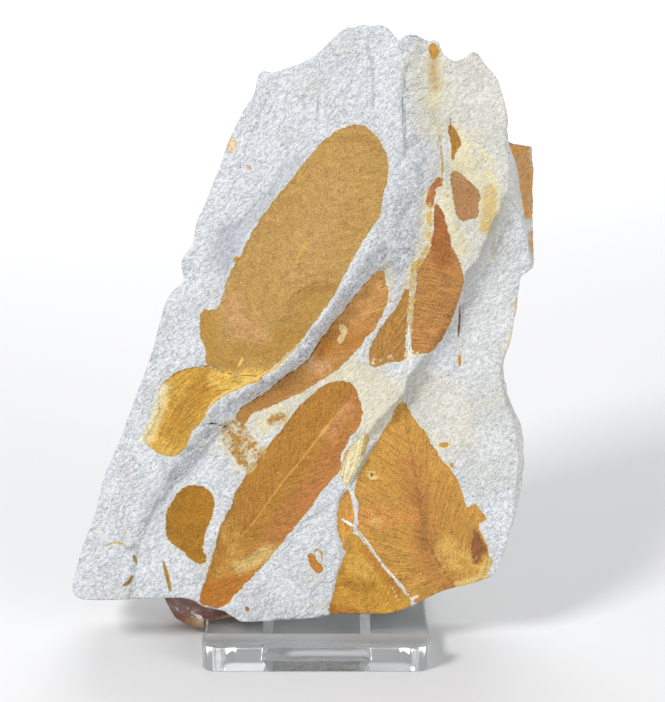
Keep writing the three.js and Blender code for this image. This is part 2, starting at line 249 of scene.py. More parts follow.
# Leaf prints: the strength of their veins, how steeply these slant towards the tip (at the tip and at
# the stalk, on the right and on the left), how far the print is pressed in, its edge and its midrib
FAN_SLANT = ((2.6, 1.6), (1.9, 0))
FOOT_SLANT = ((1.5, 1.5), (0.6, 0.2))
LEAVES = {
    "broad": dict(layer=1, paint=TAN, veins=0.3, slant=0.7, sink=0.15, edge=[
        (8, 64.5), (13, 60.5), (15.5, 55.5), (16, 51), (14.5, 44.5), (13.5, 39), (8.5, 31), (3.5, 22),
        (-0.5, 14.5), (-6.5, 6.5), (-11.5, 0.5), (-17, -4.5), (-20, -7), (-26.5, -7), (-32, -5.5),
        (-36, -3.5), (-36, 0.5), (-37.5, 4.5), (-37, 11.5), (-33, 12), (-31, 17), (-28.5, 23.5),
        (-26, 27.5), (-23, 33.5), (-18.5, 40.5), (-12, 48.5), (-6.5, 55.5), (-2, 60.5), (2.5, 63.5),
    ], midrib=[(10, 68), (5, 57.5), (-0.5, 46), (-7, 31.5), (-12, 21.5), (-20, 6), (-28, -9)]),
    "golden": dict(layer=2, paint=(206, 160, 70), veins=0.9, slant=6, sink=0.2, edge=[
        (-48.5, -9.5), (-44, -6), (-36.5, -4.5), (-26.5, -7), (-20, -7), (-25, -10), (-30.5, -12.5),
        (-35, -16), (-37, -20), (-40, -23), (-42, -27.5), (-44.5, -29.5), (-48.5, -29.5), (-52, -27.5),
        (-53.5, -25.5), (-51.5, -22.5), (-49.5, -17.5), (-49.5, -13),
    ], midrib=[(-16, -4.5), (-24, -7.5), (-33, -9.5), (-40, -13.5), (-45.5, -20), (-50, -28), (-53, -34)]),
    "middle": dict(layer=1, paint=(187, 136, 74), veins=0.5, fine=1.3, slant=1.2, sink=0.2, edge=[
        (14, 23), (15.5, 19), (16, 15.5), (14, 9.5), (9.5, 3.5), (4, -3), (-2, -7.5), (-8.5, -11.5),
        (-17, -15.5), (-23, -18), (-25.5, -21), (-27.5, -19), (-26.5, -16.5), (-21, -13), (-14, -7.5),
        (-7, -2.5), (-4, 2.5), (2, 10.5), (8.5, 18),
    ], midrib=[(16, 27), (13.5, 21.5), (8, 11.5), (-0.5, 0.5), (-12, -9.5), (-26.5, -19), (-31, -22)]),
    "long": dict(layer=1, paint=(178, 126, 54), veins=0.6, fine=1.5, slant=1.4, sink=0.45, edge=[
        (0, -9), (5, -9), (7.5, -13), (8.5, -19), (5, -25), (2.5, -29.5), (2, -34), (-3, -40),
        (-8.5, -47.5), (-15.5, -56), (-21, -62.5), (-26.5, -68), (-31.5, -73), (-36.5, -72.5),
        (-38, -71.5), (-36, -64.5), (-34, -58), (-32, -50.5), (-28.5, -43.5), (-27, -39), (-21, -30.5),
        (-15, -23), (-10, -16.5), (-4, -11),
    ], midrib=[
        (12, -6.5), (5.7, -13.2), (-1.1, -21.1), (-8.5, -30.6), (-15.4, -39), (-22.2, -48.5), (-28, -56),
        (-35, -68), (-39, -76),
    ]),
    "small": dict(layer=1, paint=(168, 118, 38), veins=0.45, fine=1.4, slant=1, sink=0.4, edge=[
        (-42, -39), (-37, -39), (-34, -42), (-34, -45.5), (-36, -51), (-37, -56.5), (-36, -60),
        (-38.5, -60.5), (-43, -57), (-47, -53.5), (-47.5, -48), (-45.5, -42.5),
    ], midrib=[(-37, -36), (-38, -40), (-40, -49), (-40.5, -59), (-40.5, -64)]),
    "red": dict(layer=1, paint=(184, 131, 73), veins=0.9, fine=1.3, slant=(-0.4, 0), sink=0.3, edge=[
        (29.5, 42.2), (30.9, 41), (32.6, 36.8), (33.5, 33), (34.6, 29.4), (36.6, 25.4), (37.6, 21.1),
        (37.5, 18.2), (35.5, 11.7), (32.9, 6), (29.8, 1.1), (27.2, -0.6), (22.9, -0.3), (22.7, 4.6),
        (23.2, 11.7), (24.1, 18.8), (24.8, 24.4), (27.2, 27.2), (28.5, 31.3), (29.2, 37.3),
    ], midrib=[(22, 48), (20, -8)]),
    "crumbled": dict(layer=2, paint=(178, 130, 66), veins=0.8, fine=1.3, slant=3, sink=0.2, edge=[
        (21.7, 18), (19.3, 13.9), (15.9, 9.4), (11.3, 2.4), (10.6, -1), (11.5, -4.3), (17, -3.1),
        (20.9, -2.5), (21, 1.1), (21.5, 9.1), (22, 14),
    ], midrib=[(23, 21), (20, 15), (17, 6), (14, -3), (13, -7)]),
    "upper right": dict(layer=1, paint=(178, 133, 88), veins=0.4, fine=1.5, slant=1, sink=0.35, edge=[
        (34.7, 51.3), (37.6, 49.7), (39.9, 47.8), (41.8, 45.8), (42.6, 44.1), (41.8, 42.2), (41.8, 38.9),
        (39.5, 37.8), (37.2, 37.1), (35.7, 38.7), (35, 42.2), (33.8, 47.9),
    ], midrib=[(35, 55), (36, 51), (39, 38), (40, 34)]),
    "sliver": dict(layer=1, paint=(170, 124, 52), veins=0.6, slant=3, sink=0.3, edge=[
        (33.4, 64.6), (35.2, 62.6), (36.6, 60.2), (36.2, 57.8), (34.9, 56.4), (34.4, 54.6), (34.2, 57.3),
        (33.5, 60.7),
    ], midrib=[(33.5, 68), (34, 63), (35, 57), (35, 52)]),
    "fan": dict(layer=1, paint=(200, 149, 72), veins=0.8, fine=1.8, slant=FAN_SLANT, sink=0.4, edge=[
        (20, -15), (23.5, -19.5), (27, -24), (30.5, -30), (34.5, -35), (37, -40), (38.3, -45),
        (38.5, -45.1), (40.7, -43.8), (40.9, -43.9), (44.2, -47.8), (44.1, -48.1), (41.7, -50.1),
        (41.8, -50.4), (43.2, -53), (44.7, -56.8), (44.2, -60), (43.2, -64), (42, -65.5), (37, -67.5),
        (30.5, -69.5), (23, -72), (20, -67.5), (14.5, -61.5), (10, -55.5), (7, -50.5), (7.5, -44.5),
        (6.5, -39), (9.5, -31.5), (13.5, -25), (17, -19.5),
    ], midrib=[
        (18, -10), (20, -17), (22, -25.5), (23.5, -34), (25.7, -48), (28, -56.5), (33.5, -65.5), (37, -71),
    ]),
    "foot": dict(layer=2, paint=(203, 152, 62), veins=0.6, fine=1.3, slant=FOOT_SLANT, sink=0.3, edge=[
        (6, -52.5), (9.5, -55.5), (14, -61.5), (19, -67.5), (22.5, -73), (18, -75), (8, -75.5),
        (-0.5, -75.5), (0, -70.5), (1.5, -64), (4, -57.5),
    ], midrib=[(3, -49), (5, -54), (9, -66), (10, -79)]),
    "splinter": dict(layer=2, paint=(204, 150, 72), veins=0.7, slant=4, sink=0.2, edge=[
        (3.9, -40.1), (5.4, -42.7), (6, -49.3), (5, -54.5), (3.9, -57.2), (2.8, -54.5), (1.5, -50.1),
        (1.7, -45.3),
    ], midrib=[(4, -37), (4, -41), (3.5, -54), (3.5, -60)]),
    "striped": dict(layer=2, paint=(233, 219, 172), veins=1, fine=1.4, slant=6, sink=0.1, edge=[
        (9.7, -23.5), (10.4, -25.3), (9.5, -28.3), (8, -32.7), (5, -37.6), (4.1, -38.2), (2.6, -36.2),
        (2.6, -32.7), (4.1, -28.8), (6.7, -25.7),
    ], midrib=[(11, -20), (9.7, -23.5), (4, -38), (3, -41)]),
    "dot": dict(layer=2, paint=(198, 142, 68), veins=0.2, slant=1, sink=0.1, edge=[
        (28.2, 87.7), (29.7, 87), (30.3, 85), (29.6, 83.5), (28.3, 83.3), (27.5, 85.2),
    ], midrib=[(28.5, 91), (28.5, 80)]),
    "flake": dict(layer=3, paint=(226, 198, 146), veins=0.2, slant=1, sink=-0.2, edge=[
        (2.5, 7.9), (4, 6.9), (4, 5.1), (3.1, 3.2), (3.3, 2.5), (1.8, 2.1), (1.6, 3.9), (2.2, 5.1),
    ], midrib=[(2.8, 10), (2.4, 0)]),
    "scrap": dict(layer=3, paint=(184, 120, 70), veins=0.6, slant=3, sink=0.1, edge=[
        (30.5, 49.7), (31.8, 48.3), (30.9, 46.7), (29.7, 46.6), (29.4, 43.8), (29, 42.1), (27.6, 41),
        (26.8, 41.8), (27.3, 44.5), (28.1, 47.6), (29.4, 48.8),
    ], midrib=[(31, 52), (28, 39)]),
    "scar": dict(layer=3, paint=(150, 97, 60), veins=0.5, soft=0.5, slant=2, sink=0.1, edge=[
        (41.2, -51.2), (42.9, -53.6), (44.2, -56.2), (44.2, -57.6), (42.9, -58.4), (42.5, -60.2),
        (41.2, -61), (40.1, -60.6), (39.8, -54.5), (40.3, -52.3),
    ], midrib=[(41, -48), (41, -64)]),
    "ring": dict(layer=3, paint=(226, 194, 124), veins=0.1, soft=0.4, slant=1, sink=0, edge=[
        (11.4, -34.2), (12.8, -35.2), (12.4, -36.8), (10.8, -37.1), (9.8, -36.2), (10, -34.8),
    ], midrib=[(11.3, -32), (11.3, -40)]),
    "crumb": dict(layer=3, paint=(192, 128, 54), veins=0.2, slant=1, sink=0, edge=[
        (-7, -58), (-5.4, -58.2), (-4.6, -60.2), (-3.2, -60.6), (-2.7, -62.6), (-4.4, -63.2), (-6.3, -61.2),
    ], midrib=[(-6, -55), (-4, -66)]),
    "rim flake": dict(layer=3, paint=(228, 202, 166), veins=0.2, slant=1, sink=0, edge=[
        (-28.4, 61), (-27.6, 59.5), (-28, 57), (-29.2, 56.2), (-30, 57.6),
    ], midrib=[(-28, 63), (-29, 54)]),
}

# Soft tones on the bare stone: paint, strength, radius, fade, and the line they follow; the grey ones on
# slopes and in a groove are painted shade
STONE_TONES = [
    (CREAM, 0.4, 8, 9, [(41, 76), (41.5, 60), (40, 47), (37, 36)]),
    (CREAM, 0.5, 3, 6, [(26.5, 82), (28.5, 66)]),
    (CREAM, 0.45, 5, 7, [(26.5, -12.5), (32, -17), (33.5, -22.5)]),
    (CREAM, 0.8, 3, 6, [(5, -7.5), (13.5, -12.5), (11.5, -19.5)]),
    (CREAM, 0.7, 3, 5, [(-19, -18), (-9.5, -12.5), (-0.5, -7.5)]),
    (CREAM, 0.15, 6, 9, [(44, 20), (46, 0), (48, -30)]),
    (LEMON, 0.7, 3, 3.5, [(-28, -24), (-24.5, -29.5)]),
    (LEMON, 0.6, 1, 2.5, [(-20, -22), (-15, -18)]),
    (LEMON, 0.65, 2, 4, [(37, 54), (43.5, 48), (45, 40)]),
    ((226, 198, 130), 0.85, 1.3, 1.5, [(45, 45.5), (45, 41), (44.3, 35.5)]),
    (LEMON, 0.65, 0.8, 2.5, [(35.5, 63), (37.5, 59), (35.5, 53)]),
    (LEMON, 0.65, 1, 2.5, [(32.6, 46), (34, 38), (37, 29)]),
    (LEMON, 0.6, 0.6, 2, [(27, 44), (26.5, 32), (23, 24), (21, 17)]),
    (LEMON, 0.5, 0.3, 1.6, [(15, 25), (17, 20), (16.5, 14)]),
    (LEMON, 0.7, 0.5, 2.6, [(28.8, 83), (29, 77), (28.4, 71)]),
    ((212, 180, 112), 0.6, 0.3, 2.2, [(29, 83), (28.9, 80), (29.4, 75.5)]),
    ((220, 180, 110), 0.85, 0.3, 0.8, [(54, 15), (53.6, 10)]),
    ((236, 222, 178), 0.6, 0.4, 1.4, [(52.6, 6), (50.4, -2.5)]),
    # Painted shade: grey on the slopes beside the broad leaf and along the upper scarp, and in a groove at
    # the top right
    (SLOPE_SHADE_GREY, 0.5, 0.8, 3, [(-10, 54), (-17, 45.5), (-24.5, 36)]),
    (SLOPE_SHADE_GREY, 0.7, 2, 5, [(-29.5, 33), (-31, 27)]),
    (SLOPE_SHADE_GREY, 0.35, 1.5, 4, [(-40, -29), (-46, -38), (-52, -48)]),
    (SLOPE_SHADE_GREY, 0.4, 0.3, 1.2, [(33, 66), (32.7, 58), (32.8, 50)]),
]

# Soft tones on the shelf's forward face, and its depths behind the slab's face
SHELF_TONES = [
    ((226, 186, 124), 0.7, 1.5, 2, [(55.6, 20), (53.6, 8), (51, -3)]),
    ((224, 168, 98), 0.95, 3, 1.6, [(54.5, 60), (56, 50), (57.5, 42.5)]),
    ((224, 172, 104), 0.8, 0.6, 1.4, [(58.6, 34), (58.8, 29)]),
]
SHELF_FRONT = 12.8
SHELF_BACK = 14.4

# Soft tones behind the face, on the broken edge and the foot lump
EDGE_TONES = [
    (CREAM, 0.25, 40, 30, [(60, 60), (60, -70), (-60, -80)]),
    (PURPLE, 0.95, 5.5, 1.5, [(-46, -75), (-38, -77), (-30, -77)]),
    (MAROON, 0.7, 1.5, 2, [(-36, -77), (-31, -78)]),
]

# Soft tones on the leaf prints
LEAF_TONES = [
    (DEEP_GOLD, 0.65, 1.5, 4, [(-36.5, 9), (-34.5, -1), (-28, -5.5)]),
    (DEEP_GOLD, 0.5, 1.5, 4.5, [(-4, 16.5), (-9.5, 7.5), (-18.5, -3.5)]),
    (PINK, 0.55, 1.5, 3.5, [(-29, 14), (-26.5, 7.5), (-21.5, 3.5)]),
    (PINK, 0.3, 3, 6, [(-0.5, 46), (-3.5, 34.5), (-9.5, 23)]),
    (DEEP_GOLD, 0.6, 1, 2, [(-27.5, 1), (-19, 0)]),
    (DEEP_GOLD, 0.6, 1, 2, [(-14.5, 4), (-8.5, 4.5)]),
    # Painted shade below the fold across the broad leaf
    (BROWN, 0.4, 0.3, 1.8, [(-12.5, 13), (-10, 15.2), (-6.4, 17.2), (-3.2, 18.6), (1.5, 17.4)]),
    (BROWN, 0.3, 0.3, 1.2, [(-17, 7), (-12.5, 9.5)]),
    (BROWN, 0.3, 0.6, 1.2, [(2, 60), (9, 60.5), (14, 57)]),
    ((214, 170, 78), 0.6, 0.3, 0.6, [(-7.3, 31.1), (-9, 28), (-11, 24.4)]),
    ((178, 126, 46), 0.6, 1.5, 4, [(-36.5, -8.5), (-40, -15), (-45, -22.5)]),
    ((224, 182, 92), 0.5, 1, 2.5, [(-51, -26.5), (-46, -28.5)]),
    ((234, 214, 150), 0.7, 0.4, 3.5, [(-48.6, -10), (-50.4, -17.5), (-53.4, -25)]),
    ((232, 190, 96), 0.75, 1.4, 2.6, [(-33, -8), (-28.5, -8.5), (-22, -7.5)]),
    ((182, 119, 48), 0.65, 2, 3, [(-4, 1.5), (3, 4), (8, 5)]),
    (PINK, 0.8, 1.4, 1.8, [(-6, -3.5), (-2.5, -4.8)]),
    ((206, 152, 92), 0.7, 2, 4, [(12.5, 19), (8.5, 13), (5, 9)]),
    (BROWN, 0.42, 1, 3.5, [(-26, -18.5), (-19, -13.5), (-11.5, -9)]),
    (RED_BROWN, 0.7, 2.5, 2.5, [(7, -15), (3.5, -22.5), (-2, -33.5), (-9.5, -43.5), (-16, -52.5)]),
    ((212, 152, 102), 0.5, 1, 2, [(4.5, -17), (-0.5, -24)]),
    ((212, 164, 82), 0.5, 1, 3, [(-30, -50), (-27.5, -59), (-31, -64)]),
    ((190, 116, 42), 0.7, 2.5, 3, [(-36.5, -71), (-31.5, -69), (-27, -67)]),
    ((208, 176, 110), 0.8, 1, 2, [(-26.5, -61.8), (-22, -59.4), (-18, -57)]),
    (RUST, 0.6, 0.5, 1, [(-37, -72), (-31.5, -72.5)]),
    ((162, 96, 50), 0.75, 1.5, 3.5, [(29.5, 40), (31, 33), (31.5, 27)]),
    ((184, 122, 68), 0.65, 1.5, 5, [
        (22.5, -34), (24, -41), (25.7, -48), (27, -55), (31, -63), (34, -66.5),
    ]),
    (BROWN, 0.35, 0.6, 2.8, [(24.5, -43), (26, -51), (27.6, -56.5)]),
    ((214, 148, 80), 0.6, 1.5, 3.5, [(8, -47.5), (15, -48), (22, -47)]),
    ((178, 128, 62), 0.3, 2.5, 3.5, [(31, -40), (34.5, -46), (36, -52)]),
    ((216, 172, 92), 0.6, 3, 2, [(33.5, -57), (38, -61.5)]),
    ((226, 184, 112), 0.6, 0.5, 1.2, [(12, -48.5), (13, -49.5)]),
    ((164, 114, 42), 0.75, 0.6, 1.2, [(3.5, -66), (7.5, -67.8), (11.5, -67)]),
    ((222, 176, 90), 0.55, 1.6, 2.2, [(6, -61), (10.5, -62.5)]),
    (RUST, 0.7, 0.8, 1.5, [(0.5, -74), (6, -74.8)]),
    (RUST, 0.55, 0.6, 1.5, [(9.5, -57), (14, -63), (19, -69)]),
    (OCHRE, 0.8, 0.7, 0.8, [(10.2, -24.5), (9.2, -29)]),
]

# Patchy stains that break up into spots: paint, strength, radius, fade, and the line they follow
STAINS = [
    ((184, 138, 66), 0.55, 3.4, 3, [(-28, -24), (-25.5, -27.5), (-23.5, -30)]),
    ((190, 140, 66), 0.55, 1, 2, [(-17.5, -20.3), (-15, -18.6)]),
    ((242, 236, 206), 0.55, 0.3, 3.4, [(-48.8, -10), (-50.8, -17.5), (-54, -25)]),
    ((226, 192, 108), 0.5, 0.4, 2.4, [(-47, -11), (-48.8, -17.5), (-52, -25)]),
    ((216, 176, 88), 0.46, 4, 3, [(32, -57), (36, -62), (42, -62)]),
    ((228, 198, 124), 0.5, 0.5, 1.2, [(36, -67), (42, -64.8), (44.5, -60)]),
    (BROWN, 0.46, 1.2, 2, [(38.5, -50.5), (40, -54)]),
    (PALE, 0.5, 0.5, 1.4, [(30.5, -27), (34, -27)]),
    (PALE, 0.5, 0.4, 1.2, [(34, -32), (35, -34)]),
    (OCHRE, 0.5, 0.4, 1.5, [(28.9, 83.5), (28.9, 80), (29.6, 75.5)]),
    (YELLOW, 0.5, 0.4, 1.3, [(46.8, 33), (46.8, 27)]),
    (LEMON, 0.5, 2, 4, [(40.5, 61), (42.5, 56), (45, 51)]),
    (PALE, 0.45, 0.2, 1.2, [(-30, -42), (-27.3, -38.5), (-22.5, -32.5)]),
    (PALE, 0.47, 0.2, 1.4, [(-20, -28.5), (-15.3, -22.8), (-10.5, -16.6)]),
    ((206, 160, 92), 0.55, 0.5, 1, [(-24.2, 52.6), (-23.6, 52)]),
    (PALE, 0.52, 0.8, 1.6, [(22.6, -0.5), (27, -1.8)]),
    ((212, 178, 100), 0.56, 0.6, 1.1, [(27.8, 42), (27.9, 36), (27.5, 31), (26, 27), (24, 24.4)]),
    ((220, 190, 120), 0.58, 0.8, 1, [(23.4, 24), (22.9, 18), (22.5, 12), (22.1, 6)]),
    ((238, 222, 180), 0.46, 0.6, 1.5, [(11.5, -3), (16, -2), (20.5, -1)]),
]

# Patchy stains behind the face
EDGE_STAINS = [
    ((214, 180, 132), 0.6, 1.4, 2, [(-41, -80), (-35, -79.5), (-28, -77.5)]),
    ((150, 100, 76), 0.55, 1, 2, [(-46, -77), (-42, -78.5)]),
    (STONE_WHITE, 0.55, 0.3, 1.2, [(-45.5, -73.8), (-42, -74.6)]),
    (STONE_WHITE, 0.55, 0.3, 1.3, [(-40.5, -75.6), (-38.5, -77)]),
]

# Thin lines: paint, half width, height, and the line they follow
LINES = [
    (CRACK_WHITE, 0.55, 0.1, [(4.2, -38.8), (5.6, -41), (6.6, -45.5), (7.2, -50)]),
    (CRACK_WHITE, 0.42, 0.1, [(2.2, -47.8), (4.5, -49.2), (7, -50.5)]),
    (CRACK_WHITE, 0.36, 0.1, [(6, -49.5), (10.5, -55.5), (15, -62), (20, -67.5), (23.4, -72.5)]),
    ((178, 174, 164), 0.5, 0.15, [(12.6, -25.9), (9.5, -30.7), (7.3, -34.7), (4.7, -39.5)]),
    (PALE, 0.22, 0, [(16, -66.5), (17.5, -68.5), (19.5, -73)]),
    (CREAM, 0.45, 0.1, [(22.5, -71), (25, -70)]),
    (CRACK_WHITE, 0.5, 0.1, [(22, 8), (22.3, 0.5), (22.5, -5.5)]),
    ((208, 152, 78), 0.3, -0.1, [
        (5.7, -13.2), (-1.1, -21.1), (-8.5, -30.6), (-15.4, -39), (-22.2, -48.5), (-28, -55.5),
    ]),
    ((218, 166, 100), 0.5, 0, [(-1.4, -21.2), (-3.8, -24.8)]),
    (YELLOW, 0.4, 0, [(-25.4, -1.6), (-26.9, -4.6)]),
    ((126, 90, 44), 0.15, -0.3, [
        (2.2, 18.3), (-0.4, 19), (-3.4, 19.8), (-6.8, 18.5), (-10.5, 16.2), (-13.1, 13.8),
    ]),
    ((122, 84, 38), 0.16, -0.1, [
        (-48.8, -9.6), (-44, -6), (-40, -4.8), (-36.2, -4.2), (-31.7, -5.7), (-28, -6.7), (-21, -7.1),
    ]),
    ((234, 196, 108), 0.4, 0, [
        (-8.6, 3), (-13.1, -1.6), (-16.1, -4.6), (-21.3, -7.4), (-26.9, -10), (-34.3, -14.6),
        (-36.8, -19.4),
    ]),
    # Dark line along the middle leaf's upper edge at the scarp's foot: a thin crack with painted shadow of
    # the scarp
    (UMBER, 0.17, -0.2, [
        (11, 20.8), (8.9, 18.7), (3.6, 12.2), (-1.2, 6), (-4.6, 1), (-7.5, -3), (-13, -7), (-17.4, -10.2),
        (-22, -13.6), (-26.3, -16.4), (-27.6, -19),
    ]),
    (PALE, 0.35, 0.1, [(27.6, 68.7), (29.5, 64.9), (30.9, 61.1), (31.1, 57.3)]),
    (OCHRE, 0.34, -0.15, [(31, 60.5), (31.2, 56), (31.4, 52), (31, 49)]),
    (BROWN, 0.17, -0.2, [(33.5, 67.5), (33.8, 63.5)]),
    (GOLD, 0.75, 0, [(30.8, -27.2), (33.6, -26.9)]),
    (GOLD, 0.55, 0, [(34, -32), (34.6, -33.6)]),
    (OLIVE, 0.6, -0.2, [(10.9, -35.5), (11.7, -35.8)]),
    ((178, 142, 64), 0.55, -0.1, [(-48.5, -59.6), (-47.5, -63.2), (-46.2, -69)]),
    ((178, 128, 62), 0.5, -0.1, [(-56.9, -63.8), (-58.1, -66), (-60, -67)]),
    ((176, 154, 84), 0.45, -0.1, [(-56.8, -57.7), (-55.8, -61)]),
    ((206, 188, 134), 0.35, -0.1, [(-65, -55.5), (-61, -54.5), (-57.5, -56.5)]),
    ((174, 130, 74), 0.5, 0, [(-24.5, -72.6), (-24.1, -74.5)]),
    (GOLD, 0.34, 0, [(-5.5, -58), (-4.4, -56.5), (-3.1, -57.8), (-3, -60.4)]),
    ((208, 160, 80), 0.9, 0, [(-27.8, 27), (-26.6, 24.8)]),
    (UMBER, 0.16, -0.4, [(-42.5, 23.5), (-40.5, 23.2), (-38.5, 22)]),
    (UMBER, 0.2, -0.35, [(-39.3, -21), (-36.6, -21.2), (-34, -20.7), (-31, -21.8), (-28.8, -22.6)]),
    ((126, 90, 46), 0.32, -0.3, [(37, 13.5), (36.8, 8), (36.6, 3.3)]),
    (PALE, 0.32, 0, [(36.7, 3.2), (36.8, -0.8)]),
    (GOLD, 0.5, 0, [(36.9, -0.8), (37, -4.6)]),
    (CRACK_AND_SHADE_GREY, 0.14, -0.25, [(29.4, -8.1), (33.6, -7), (37.4, -6.8)]),
]

# Small ledges that fade out: drop on the right of the line, reach, and the line from top to bottom
CREASES = [
    (0.4, 5, [(-3.5, 85), (-4, 74.5), (-4.5, 66), (-5.5, 58)]),
    (0.9, 4, [(9, 88.5), (11, 81.5), (11.5, 74.5), (11.5, 67.5)]),
    (1.1, 3, [(20.5, 83), (20, 71.5), (20, 64.5), (20.5, 59.5), (20, 54)]),
    (0.4, 3, [(-18.5, 78.5), (-19, 71.5), (-21, 67), (-24, 60), (-25.5, 55.5), (-27, 50), (-30.5, 43)]),
    (0.5, 3, [(25, 74), (28, 68.5), (30, 63), (31, 57.5)]),
    (0.45, 4, [(-21.5, 42.5), (-23, 41), (-29, 35), (-32.5, 37.5), (-33.5, 40)]),
    (0.5, 6, [(3.5, -39), (-0.5, -44), (-9.5, -49.5), (-13.5, -55.5)]),
    (0.5, 5, [(-27.5, -48), (-31.5, -57.5)]),
    (0.4, 4, [(-30, -20.5), (-37, -29), (-44, -38)]),
]


def linear(paint):
    """A paint as the linear colour that the shaders work with."""
    shares = [level / 255 for level in paint]
    return [s / 12.92 if s <= 0.04045 else ((s + 0.055) / 1.055) ** 2.4 for s in shares]


def colour(paint):
    return (*linear(paint), 1)


def smooth(value, start, end):
    """0 before start and 1 after end, with an even curve between."""
    share = np.clip((value - start) / (end - start), 0, 1)
    return share * share * (3 - 2 * share)


def roughness(places, size, layer, octaves=2):
    """Uneven height from about -1 to 1 at each place, in lumps of the given size."""
    spots = (Vector((u / size, v / size, layer)) for u, v in places)
    return np.fromiter((noise.fractal(spot, 0.9, 2.1, octaves) for spot in spots), float, len(places))


def hackles(places, size, layer):
    """Sharp-crested height from about -1 to 1 at each place."""
    spots = (Vector((u / size, v / size, layer)) for u, v in places)
    crests = (noise.ridged_multi_fractal(spot, 0.9, 2.1, 3, 1, 2) for spot in spots)
    return np.fromiter(crests, float, len(places)) - 1


def along_grain(places):
    """Places turned and drawn in, so that lumps made on them lie along the stone's grain."""
    u, v = places.T
    along = u * math.cos(GRAIN_TURN) + v * math.sin(GRAIN_TURN)
    across = v * math.cos(GRAIN_TURN) - u * math.sin(GRAIN_TURN)
    return np.column_stack((along / GRAIN_STRETCH, across))


class Line:
    """A run of straight spans on the slab's face."""

    def __init__(self, points, closed=False):
        self.points = np.array(points)
        count = len(self.points) if closed else len(self.points) - 1
        self.starts = self.points[:count]
        self.runs = (np.roll(self.points, -1, axis=0) - self.points)[:count]
        self.lengths = np.hypot(self.runs[:, 0], self.runs[:, 1])

    def nearest(self, places):
        """How far each place is from the line, the nearest span, and the share of that span."""
        best = np.full(len(places), np.inf)
        span = np.zeros(len(places), int)
        share = np.zeros(len(places))
        for i, (start, run) in enumerate(zip(self.starts, self.runs)):
            offset = places - start
            along = np.clip(offset @ run / (run @ run), 0, 1)
            gap = offset - along[:, None] * run
            square = gap[:, 0] ** 2 + gap[:, 1] ** 2
            closer = square < best
            best[closer] = square[closer]
            span[closer] = i
            share[closer] = along[closer]
        return np.sqrt(best), span, share

    def away(self, places):
        return self.nearest(places)[0]

    def along_across(self, places):
        """Length along the line and distance off it, positive on the left of its direction."""
        gap, span, share = self.nearest(places)
        begun = np.concatenate(([0], np.cumsum(self.lengths)[:-1]))
        run = self.runs[span]
        offset = places - self.starts[span]
        turn = run[:, 0] * offset[:, 1] - run[:, 1] * offset[:, 0]
        return begun[span] + share * self.lengths[span], np.where(turn >= 0, gap, -gap)


def curve(corners, closed=False, spacing=0.8):
    """A smooth line through the given corners."""
    spots = [Vector((u, v, 0)) for u, v in corners]
    count = len(spots)
    line = []
    for i in range(count if closed else count - 1):
        start = spots[i]
        end = spots[(i + 1) % count]
        before = spots[i - 1] if closed or i else start
        after = spots[(i + 2) % count] if closed or i + 2 < count else end
        handle = (end - start).length / 3
        leave = start + (end - before).normalized() * handle
        arrive = end - (after - start).normalized() * handle
        steps = max(2, round(3 * handle / spacing) + 1)
        line += interpolate_bezier(start, leave, arrive, end, steps)[:-1]
    if not closed:
        line.append(spots[-1])
    return Line([spot[:2] for spot in line], closed)


def inside(polygon, places):
    within = np.zeros(len(places), bool)
    u, v = places.T
    for (au, av), (bu, bv) in zip(polygon, np.roll(polygon, -1, axis=0)):
        if av == bv:
            continue
        crossing = (bu - au) * (v - av) / (bv - av) + au
        within ^= ((av > v) != (bv > v)) & (u < crossing)
    return within


def depth_inside(line, places):
    """Distance in from a closed line, negative outside it."""
    return np.where(inside(line.points, places), 1, -1) * line.away(places)


def past(corners, places):
    """Distance past a line that crosses the slab from top to bottom, positive to its right."""
    line = curve(corners)
    right = np.vstack((line.points, [(FAR, -FAR), (FAR, FAR)]))
    return np.where(inside(right, places), 1, -1) * line.away(places)


def scarp_drop(scarp, places, waver):
    """How far the face has stepped down at each place, in uneven terraces, how rough it is there, and
    how much fresh grey stone and painted shade lie just below the crest."""
    crest_side = past(scarp["crest"], places)
    foot_side = past(scarp["foot"], places)
    up = places[:, 1]
    deeper = scarp["high"] - scarp["low"]
    drop = scarp["low"] + deeper * smooth(up, scarp["low_from"], scarp["high_from"])
    drop *= 1 - smooth(up, scarp["fade_from"], scarp["fade_to"])
    width = np.maximum(crest_side - foot_side, 1e-6)
    share = np.clip(crest_side / width, 0, 1) ** scarp["crest_power"]
    share = np.where(foot_side >= 0, 1, np.where(crest_side <= 0, 0, share))
    beds = 2 * math.pi * TERRACES
    on_slope = (share > 0) & (share < 1)
    terraced = share + on_slope * TERRACE_STEP * np.sin(beds * share + 2 * waver) / beds
    steep = 4 * share * (1 - share) * scarp["rough"] * (0.4 + 0.6 * drop / scarp["high"])
    below = np.where(crest_side > 0, np.exp(-np.maximum(crest_side, 0) / FRESH_AND_SHADE_REACH), 0)
    fresh_grey_and_shade = scarp["fresh_grey_and_shade"] * below * drop / scarp["high"]
    return drop * np.clip(terraced, 0, 1), steep, fresh_grey_and_shade


LEAF_EDGES = {name: curve(leaf["edge"], closed=True) for name, leaf in LEAVES.items()}


def leaf_sink(places):
    """How far the leaf prints are pressed in, and how bare the stone is, from 0 to 1."""
    sink = np.zeros(len(places))
    bare = np.ones(len(places))
    for name, leaf in LEAVES.items():
        depth = depth_inside(LEAF_EDGES[name], places)
        pressed = leaf["sink"] * smooth(depth, -0.2, 0.5)
        sink = np.where(np.abs(pressed) > np.abs(sink), pressed, sink)
        bare = np.minimum(bare, 1 - smooth(depth, -0.3, 0.8))
    return sink, bare


def crease_side(corners, places):
    """Distance from a crease, and distance to its right, which fades past its ends."""
    line = curve(corners)
    along, across = line.along_across(places)
    length = line.lengths.sum()
    within = smooth(along, 0, CREASE_TAPER) * (1 - smooth(along, length - CREASE_TAPER, length))
    return np.abs(across), across * within


